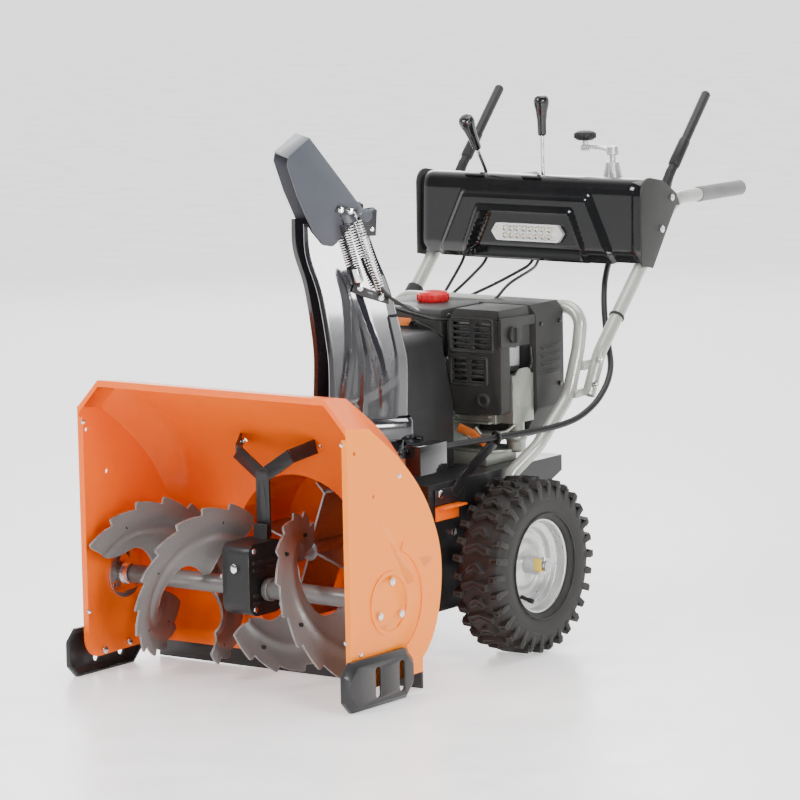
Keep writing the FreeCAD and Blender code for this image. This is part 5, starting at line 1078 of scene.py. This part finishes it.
def makeConsole():
    c = console
    section = openCurve([(1016, 683, 0), (1008, 700, 8), (1012, 849, 52), (1084, 838, 44),
                         (1130, 806, 16), (1143, 786, 0)], c["rows"])
    rings = []
    for k in range(c["columns"] + 1):
        x = -c["half"] + 2 * c["half"] * k / c["columns"]
        outer, inner = [], []
        end = min(1, (c["half"] - abs(x)) / 26)
        for i, p in enumerate(section):
            run = (section[min(i + 1, c["rows"])] - section[max(i - 1, 0)]).normalized()
            way = Vector((-run.y, run.x))
            face = ease(0.75, 0.98, abs(way.x)) if p.x < 1060 else 0
            band = inTrapezoid(x, p.y, -5, 676, 812, 214, 150, 9) * (1 - ease(1030, 1056, p.x))
            sunk = inTrapezoid(x, p.y, -5, 690, 772, 137, 101, 3.2) * face * ease(690, 693, p.y)
            edge = inTrapezoid(x, p.y, -5, 684, 780, 150, 112, 3) * face
            droop = 8 * (1 - end) ** 2
            out = c["bandOut"] * band + 3 * (edge - sunk) - (c["recessDeep"] + 5) * sunk - droop
            outer.append(Vector((x, *(p + way * out))))
            back = c["wall"] + (c["recessDeep"] + 4) * max(sunk, edge * 0.98) + droop
            inner.append(Vector((x, *(p - way * back))))
        rings.append([at(*q) for q in outer + inner[::-1]])
    shell = loftMesh("shell", rings)
    levers = (controls["speed"], controls["deflector"])
    slots = [prismMesh("slot", softened(rectangle(x - 7, 1034, x + 7, 1112), 5), "Z", 770, 900)
             for x in levers]
    slots += [prismMesh("opening", softened(rectangle(x - 15, 1058, x + 15, 1152), 14), "Z", 745, 900)
              for x in (-controls["paddle"], controls["paddle"])]
    slots.append(turnedMesh("bore", [(790, 0), (790, 10), (900, 10), (900, 0)], (0, 0, 1),
                            (controls["crank"], 1100, 0), 32))
    for cutter in slots:
        tool = bpy.data.objects.new("cutter", moved(cutter, (0, front, 0)))
        bpy.context.collection.objects.link(tool)
        shell = applyTo(shell, ("BOOLEAN", {"object": tool, "operation": "DIFFERENCE",
                                            "solver": "EXACT"}))
        bpy.data.objects.remove(tool)
    boss = turnedMesh("boss", softened([(806, 10.5), (806, 24), (830, 21), (833, 19), (833, 10.5)], 1.5,
                                       3), (0, 0, 1), at(controls["crank"], 1100, 0), 48)
    pieceFrom("consoleHood", joined("hood", [shell, boss]), "glossBlack", "machine",
              ["console_shell"], smooth=42)
    # toothed guide plates under the lever slots
    guides = []
    slope = math.radians(controls["slope"])
    place = (0, front, 1042 * math.sin(-slope) + 838)
    for x in levers:
        comb = rectangle(x - 22, 1030, x + 22, 1118)
        plate = prismMesh("guide", softened(comb, 6), "Z", 0, 3, 0.8)
        tooth = boxMesh("tooth", (x + 8.5, 1044, 3), (x + 15, 1050, 8), 1)
        row = grown(tooth, rowTree, "darkPlastic", Count=6, Step=(0, 11.5, 0))
        guides += [moved(item, place, Matrix.Rotation(slope, 3, "X")) for item in (plate, row)]
    pieceFrom("leverGuides", joined("guides", guides), "darkPlastic", "machine")


lampSizes = {"x": -4, "z": 732, "wide": 168, "tall": 34}


def makeLamp():
    x, z = lampSizes["x"], lampSizes["z"]
    def hexagon(grow):
        w, h = lampSizes["wide"] / 2 + grow, lampSizes["tall"] / 2 + grow
        return [(x - w, z), (x - w + 12, z - h), (x + w - 12, z - h), (x + w, z), (x + w - 12, z + h),
                (x - w + 12, z + h)]
    body = moved(prismMesh("body", hexagon(0), "Y", 1016, 1023, 1), (0, front, 0))
    rimOuter = [at(a, 1012, b) for a, b in softened(hexagon(0), 3, 3)]
    rimBack = [at(a, 1020, b) for a, b in softened(hexagon(0.4), 3, 3)]
    rimInner = [at(a, 1012, b) for a, b in softened(hexagon(-3), 3, 3)]
    rimFloor = [at(a, 1017, b) for a, b in softened(hexagon(-4), 3, 3)]
    rim = loftMesh("rim", [rimBack, rimOuter, rimInner, rimFloor], loop=True)
    pieceFrom("lampBody", joined("lamp", [body, rim]), "lens", "machine",
              ["headlight"])
    cell = turnedMesh("cell", [(0, 6.6), (2.4, 6.6), (2.4, 5.8), (0.8, 4), (0.8, 0), (0, 0)],
                      (0, -1, 0), steps=24)
    dome = turnedMesh("dome", [(0, 0), (0, 3.6), (1.6, 3.2), (2.8, 1.8), (3.2, 0)], (0, -1, 0),
                      steps=20)
    first = at(x - 52.5, 1016, z - 7)
    block = {"Count": 8, "Step": (15, 0, 0), "Rows": 2, "Row_Step": (0, 0, 14)}
    pieceFrom("lampCells", moved(grown(cell, rowTree, "chrome", **block), first), "chrome", "machine")
    pieceFrom("lampLeds", moved(grown(dome, rowTree, "led", **block), first), "led", "machine")


makeConsole()
makeLamp()
print("console made")

# levers, paddles, crank and grips
def makeLever(node, x, tipY, tipZ, fat):
    pivot = at(x, 1075, 745)
    foot, bend, tip = Vector((0, 0, 0)), Vector((0, -15, 100)), Vector((0, tipY, tipZ))
    way = (tip - bend).normalized()
    stem = sweptMesh("stem", bentPath([foot, bend, tip - way * 60], [40], 8), 4, 16)
    boss = ringMesh("hub", -8, 8, 6.2, 12, 1, (1, 0, 0), steps=32)
    profile = [(0, 0), (0, fat * 0.55), (3, fat * 0.72), (30, fat * 0.8), (48, fat * 1.0),
               (62, fat * 1.28), (70, fat * 1.3),
               (76, fat * 1.12), (79.5, fat * 0.7), (80, 0)]
    knob = between(turnedMesh("knob", profile, (0, 0, 1), steps=10), tip - way * 79, tip + way * 0.6)
    body = nodeBody[node]
    pieceFrom(node + "Knob", moved(rounded(knob, 1.2, 2, 18), pivot), "glossBlack", body,
              [node], smooth=20)
    pieceFrom(node + "Stem", moved(joined("stem", [stem, boss]), pivot), "chrome", body)


paddle = {"radius": 9.4, "endRadius": 6.5, "reach": 248, "rise": 44}


def makePaddle(node, side):
    pivot = at(side * controls["paddle"], 1112, 803)
    lift = Matrix.Rotation(math.radians(paddle["rise"]), 3, "X")
    path = bentPath([Vector((0, -6, 2)), Vector((0, 52, 10)), Vector((0, paddle["reach"], 21))], [80],
                    8)
    bar = sweptMesh("bar", path + [Vector((0, paddle["reach"] + 4, 21.2))],
                    [paddle["radius"]] * len(path) + [paddle["endRadius"]], 24)
    sleeve = sweptMesh("sleeve", [Vector((0, 70, 11.4)), Vector((0, 74, 11.6)), Vector((0, 130, 15)),
                                  Vector((0, 134, 15.2))],
                       [10.5, 11.8, 11.2, 10], 24)
    hook = prismMesh("hook", softened([(-14, -12), (16, -11), (42, -1), (60, 4), (60, 20), (-4, 12),
                                       (-13, 9)], 5, 4), "X", -6, 6, 1.2)
    collar = ringMesh("collar", -9, 9, 5.2, 10, 1, (1, 0, 0), steps=32)
    mesh = joined(node, [bar, sleeve, hook, collar])
    moved(mesh, pivot, lift)
    pieceFrom(node + "Bar", mesh, "darkPlastic", nodeBody[node], [node], smooth=40)


def makeCrank():
    pivot = at(controls["crank"], 1100, 748)
    spindle = turnedMesh("spindle", [(-11, 0), (-11, 6), (150, 6), (151, 5), (151, 0)], (0, 0, 1),
                         steps=24)
    rings = [(88, 7), (88, 19)]
    for k in range(7):
        z = 90 + 4.4 * k
        outer, inner = 20 - k * 0.9, 18 - k * 0.9
        rings += [(z, outer), (z + 2.2, outer), (z + 2.4, inner), (z + 4.2, inner)]
    rings += [(121, 10), (121, 7)]
    collar = turnedMesh("collar", rings, (0, 0, 1), steps=40)
    boss = turnedMesh("hub", softened([(134, 3), (134, 12), (151, 11), (151, 3)], 2), (0, 0, 1),
                      steps=32)
    span = Vector((-96, 49, 0))
    side = Vector((-span.y, span.x, 0)).normalized()
    rows = []
    for k in range(13):
        w = k / 12
        half = 8.5 - 2.5 * math.sin(math.pi * w)
        middle = span * w + Vector((0, 0, 142 + 3 * math.sin(math.pi * w)))
        rows.append([middle + side * half * share + Vector((0, 0, lift)) for share, lift in
                     ((1, -3), (1, 2), (0.5, 4), (-0.5, 4), (-1, 2), (-1, -3))])
    arm = rounded(loftMesh("arm", rows), 0.8)
    post = turnedMesh("pin", [(136, 0), (136, 9), (146, 9), (148, 5.5), (158, 5.5), (158, 0)],
                      (0, 0, 1), span, 24)
    pieceFrom("crankArm", moved(joined("arm", [spindle, collar, boss, arm, post]), pivot), "rim",
              "crank_handle",
              ["chute_crank"])
    cap = turnedMesh("cap", [(156, 0), (156, 14), (157, 17), (161, 20.6), (167, 21.4), (172, 19),
                             (174.6, 12), (175, 0)], (0, 0, 1),
                     span, 40)
    rib = boxMesh("rib", (20.3, -1.1, 160), (22, 1.1, 170), 0.5)
    ribs = moved(grown(rib, ringTree, "darkPlastic", Count=20, Axis=(0, 0, 1), First=0.0), span)
    pieceFrom("crankKnob", moved(joined("cap", [cap, ribs]), pivot), "darkPlastic", "crank_handle")


makeLever("speed_lever", controls["speed"], -86, 212, 12.5)
makeLever("deflector_lever", controls["deflector"], -17, 252, 12)
makePaddle("auger_paddle", -1)
makePaddle("drive_paddle", 1)
makeCrank()
print("levers made")


# engine dressing
engine = {"guardX": 58, "guardBase": 430, "face": 650, "side": 188}


def makeEngineTrim():
    e = engine
    x, z, y = e["guardX"], e["guardBase"], e["face"]
    plates, bolts, dark = [], [], []
    # raised frames round the two louvre panels, and bars between the slots
    for low, high, base, top in ((x + 8, x + 106, z + 116, z + 180), (x + 8, x + 92, z + 54, z + 108)):
        rings = []
        for depth, inset, soft in ((0.5, -2, 9), (-3, 0, 8), (-2.4, 3, 6), (0.5, 4, 5)):
            outline = rectangle(low + inset, base + inset, high - inset, top - inset)
            rings.append([at(u, y + depth, v) for u, v in softened(outline, soft, 4)])
        plates.append(loftMesh("frame", rings, loop=True))
    fin = boxMesh("fin", (0, y - 2.2, 0), (38, y + 0.6, 3.4), 0.9)
    for low, base, count in ((x + 14, z + 118.4, 6), (x + 62, z + 118.4, 6)):
        plates.append(moved(grown(fin.copy(), rowTree, "charcoal", Count=count, Step=(0, 0, 11)),
                            (low, front, base)))
    short = boxMesh("fin", (0, y - 2.2, 0), (30, y + 0.6, 3.4), 0.9)
    for low in (x + 14, x + 54):
        plates.append(moved(grown(short.copy(), rowTree, "charcoal", Count=5, Step=(0, 0, 11)),
                            (low, front, z + 58.4)))
    # the round boss low on the guard's chin and the dark hole in it
    plates.append(turnedMesh("boss", softened([(-5, 7), (-5, 13), (1, 15), (1, 7)], 1.2), (0, 1, 0),
                             at(x + 82, y, z + 26), 40))
    dark.append(turnedMesh("hole", [(-3, 0), (-3, 7.4), (1, 7.4), (1, 0)], (0, 1, 0),
                           at(x + 82, y, z + 26), 32))
    # fan housing side: ribs and screws
    for k in range(4):
        rib = boxMesh("rib", (e["side"] - 1, 778 + front, 492 + 16 * k),
                      (e["side"] + 1.9, 832 + front, 495.6 + 16 * k))
        plates.append(rounded(rib, 0.9))
    for u, v in ((774, 590), (836, 590), (836, 470)):
        bolts.append((at(e["side"], u, v), (1, 0, 0)))
    for u, v in ((x + 2, z + 190), (x + 116, z + 190)):
        bolts.append((at(u + 4, y, v - 8), (0, -1, 0)))
    pieceFrom("guardTrim", joined("trim", plates), "charcoal", "machine")
    pieceFrom("engineHoles", joined("holes", dark), "rubber", "machine")
    pieceFrom("engineScrews", onSpots(boltMesh(0.62, stud=False), bolts, "glossBlack"), "glossBlack",
              "machine")


def makeUnderEngine():
    # base plate, carburettor shield, brackets, copper coloured strips and hoses
    shield = [(744, 440), (748, 500), (738, 512), (706, 512), (692, 498), (690, 452), (704, 436)]
    shield = softened(shield, 7, 4)
    plate = loftMesh("shield", [[at(180.5, u, v) for u, v in shield],
                                [at(183.4, u, v) for u, v in shield],
                                [at(185.2, u * 0.9 + 72, v * 0.9 + 47.5) for u, v in shield]])
    base = softened([(-60, 662), (150, 662), (168, 690), (168, 748), (-60, 748)], 8)
    foot = softened([(84, 656), (150, 656), (158, 668), (158, 700), (84, 700)], 6)
    pans = [plate, moved(prismMesh("base", base, "Z", 354.6, 360, 1), (0, front, 0)),
            moved(prismMesh("foot", foot, "Z", 384, 392, 2), (0, front, 0))]
    bowl = turnedMesh("bowl", softened([(352.5, 2), (352.5, 14), (357, 18), (372, 18.5), (378, 21),
                                        (384, 21), (384, 2)], 1.5),
                      (0, 0, 1), at(166, 718, 0), 40)
    arm = sweptMesh("arm", bentPath([at(120, 650, 404), at(128, 660, 388), at(164, 690, 394),
                                     at(176, 712, 410)], [8, 12]), 3.2, 14)
    stay = sweptMesh("stay", bentPath([at(92, 652, 396), at(104, 660, 376), at(148, 676, 378)], [12]),
                     2.6, 14)
    pieceFrom("carburettorShield", joined("pans", pans + [bowl, arm, stay]), "alloy", "machine",
              smooth=40)
    strip = moved(prismMesh("strip", softened([(78, 394), (86, 410), (122, 398), (146, 376), (138, 368),
                                               (110, 386)], 3), "Y", 647, 650, 0.6),
                  (0, front, 0))
    tankStrip = boxMesh("tankStrip", (-96, 644.2 + front, 588), (-22, 649.6 + front, 603), 1.2)
    pieceFrom("copperStrips", joined("strips", [strip, tankStrip]), "copper", "machine")
    hoses = [sweptMesh("hose", bentPath([at(150, 704, 470), at(176, 730, 470), at(181, 752, 520),
                                         at(176, 756, 548)], [16, 16]), 4.2, 18),
             sweptMesh("hose", bentPath([at(60, 652, 470), at(40, 644, 452), at(34, 648, 410),
                                         at(48, 664, 378)], [14, 20]), 4.5, 18),
             sweptMesh("lead", bentPath([at(-18, 646, 588), at(-2, 640, 596), at(20, 640, 590),
                                         at(52, 647, 572)], [8, 12]), 2.0, 12)]
    loop = [at(-10 + 13 * math.cos(a), 641 + a * 0.4,
               588 + 11 * math.sin(a)) for a in [math.tau * k / 30 for k in range(46)]]
    hoses.append(sweptMesh("coil", loop, 1.8, 12))
    pieceFrom("engineHoses", joined("hoses", hoses), "cord", "machine", smooth=60)
    cap = at(-51, 760, 622.2)
    lobes = turnedMesh("cap", [(0, 0), (0, 28), (4, 30), (14, 29.5), (18.5, 26), (20, 18), (20, 0)],
                       (0, 0, 1), steps=48)
    grip = boxMesh("grip", (28.6, -2.4, 2), (31.8, 2.4, 15), 1.1)
    neck = turnedMesh("neck", [(-6, 0), (-6, 20.8), (0.5, 20.8), (0.5, 0)], (0, 0, 1), steps=32)
    grips = grown(grip, ringTree, "red", Count=16, Axis=(0, 0, 1), First=0.0)
    pieceFrom("fuelCapRibbed", moved(joined("cap", [lobes, grips, neck]), cap), "red",
              nodeBody["fuel_cap"],
              ["fuel_cap"], smooth=30)


def makeHandleTrim():
    # bolts and plates that join the tubes, and a clip and a band on them
    bolts = []
    for s in (-1, 1):
        for y, z in ((838, 470), (856, 516)):
            bolts.append((at(s * 259.5, y + 10, z), (s, 0, 0)))
        bolts.append((at(s * 232.5, 760, 404), (s, 0, 0)))
    clamps = []
    for s in (-1, 1):
        for low, high in (((808, 446), (852, 464)), ((836, 496), (880, 516))):
            outline = [low, (high[0], low[1] + 2), (high[0] + 6, high[1]), (low[0] + 6, high[1] - 2)]
            clamp = prismMesh("clamp", softened(outline, 7, 4), "X", *sorted((s * 224, s * 241)), 1.5)
            clamps.append(moved(clamp, (0, front, 0)))
    pieceFrom("tubeClamps", joined("clamps", clamps), "tube", "machine")
    pieceFrom("tubeBolts", onSpots(boltMesh(0.85), bolts, "chrome"), "chrome", "machine")
    way = Vector((0, 269, 273)).normalized()
    clip = ringMesh("clip", -9, 9, 13.2, 17, 1.2, way, at(-246, 884, 524) + way * 120, 40)
    tie = ringMesh("tie", -2.4, 2.4, 13.2, 15.4, 0.6, way, at(246, 884, 524) + way * 90, 40)
    pieceFrom("cableClips", joined("clips", [clip, tie]), "darkPlastic", "machine")


def makeFrontTrim():
    # screws round the housing's mouth and the shelf behind the drum
    half = 305  # the housing's half width
    spots = [(at(s * (half - 12), 3, z), (0, -1, 0)) for s in (-1, 1) for z in (120, 470)]
    spots += [(at(s * half, y, z), (s, 0, 0)) for s in (-1, 1) for y, z in ((26, 96), (150, 396))]
    pieceFrom("housingScrews", onSpots(boltMesh(0.6, stud=False), spots, "chrome"), "chrome", "machine")
    shelf = boxMesh("shelf", (182, 428 + front, 286), (206, 500 + front, 290), 1)
    rise = boxMesh("rise", (182, 428 + front, 262), (186, 500 + front, 290), 1)
    pieceFrom("orangeShelf", joined("shelf", [shelf, rise]), "orange", "machine")


makeEngineTrim()
makeUnderEngine()
makeHandleTrim()
makeFrontTrim()
print("trim made")


# every other CAD node: its finish and the width of its softened edges
plainNodes = {
    # side_plate_left takes the lighter orange copy, a painted highlight of light falling on that plate;
    # the right plate keeps the plain orange
    "auger_housing": ("orange", 0.0), "side_plate_left": ("paintedLitOrange", 0.0),
              "side_plate_right": ("orange", 0.0),
    "impeller_housing": ("orange", 0.0), "scraper_bar": ("black", 0.6), "skid_shoes": ("black", 0.8),
    "auger_shaft": ("steel", 0.0),
    "worm_wheel": ("steel", 0.0), "gear_case": ("casting", 1.0), "gearbox_bracket": ("black", 0.8),
    "bearings": ("chrome", 0.6), "impeller": ("steel", 0.4), "impeller_shaft": ("steel", 0.4),
    "frame_shell": ("black", 0.0), "bottom_cover": ("black", 0.5), "axle": ("steel", 0.0),
              "hex_shaft": ("steel", 0.0),
    "friction_wheel": ("rubber", 0.5), "drive_disc": ("steel", 0.5), "crankshaft": ("steel", 0.4),
    "drive_belts": ("rubber", 0.0),
    "crankcase": ("alloy", 1.5), "cylinder_head": ("alloy", 0.8), "muffler": ("steel", 0.0),
    "muffler_guard": ("charcoal", 0.8), "side_cover": ("charcoal", 0.5),
              "choke_knob": ("darkPlastic", 0.6),
    "carburettor": ("alloy", 1.0), "fan_housing": ("charcoal", 1.2),
              "starter_handle": ("darkPlastic", 0.8),
    "fuel_tank": ("charcoal", 2.0), "belt_cover": ("darkPlastic", 1.0),
    "chute_base": ("glossBlack", 0.6), "chute_worm": ("steel", 0.3),
    "deflector": ("satin", 0.6), "chute_cable": ("cord", 0.0),
    "deflector_cable": ("cord", 0.0), "chute_shaft_sheath": ("cord", 0.0),
              "control_cables": ("cord", 0.0),
    "shaft_guide_bracket": ("black", 0.5), "lower_handle": ("tube", 0.0),
              "upper_handles": ("tube", 0.0),
    "hand_grips": ("grip", 0.4), "console_frame": ("charcoal", 0.6), "fasteners": ("chrome", 0.5),
}
for node, (paint, bevel) in plainNodes.items():
    refined(node, paint, bevel)
print("CAD nodes refined:", len(plainNodes))
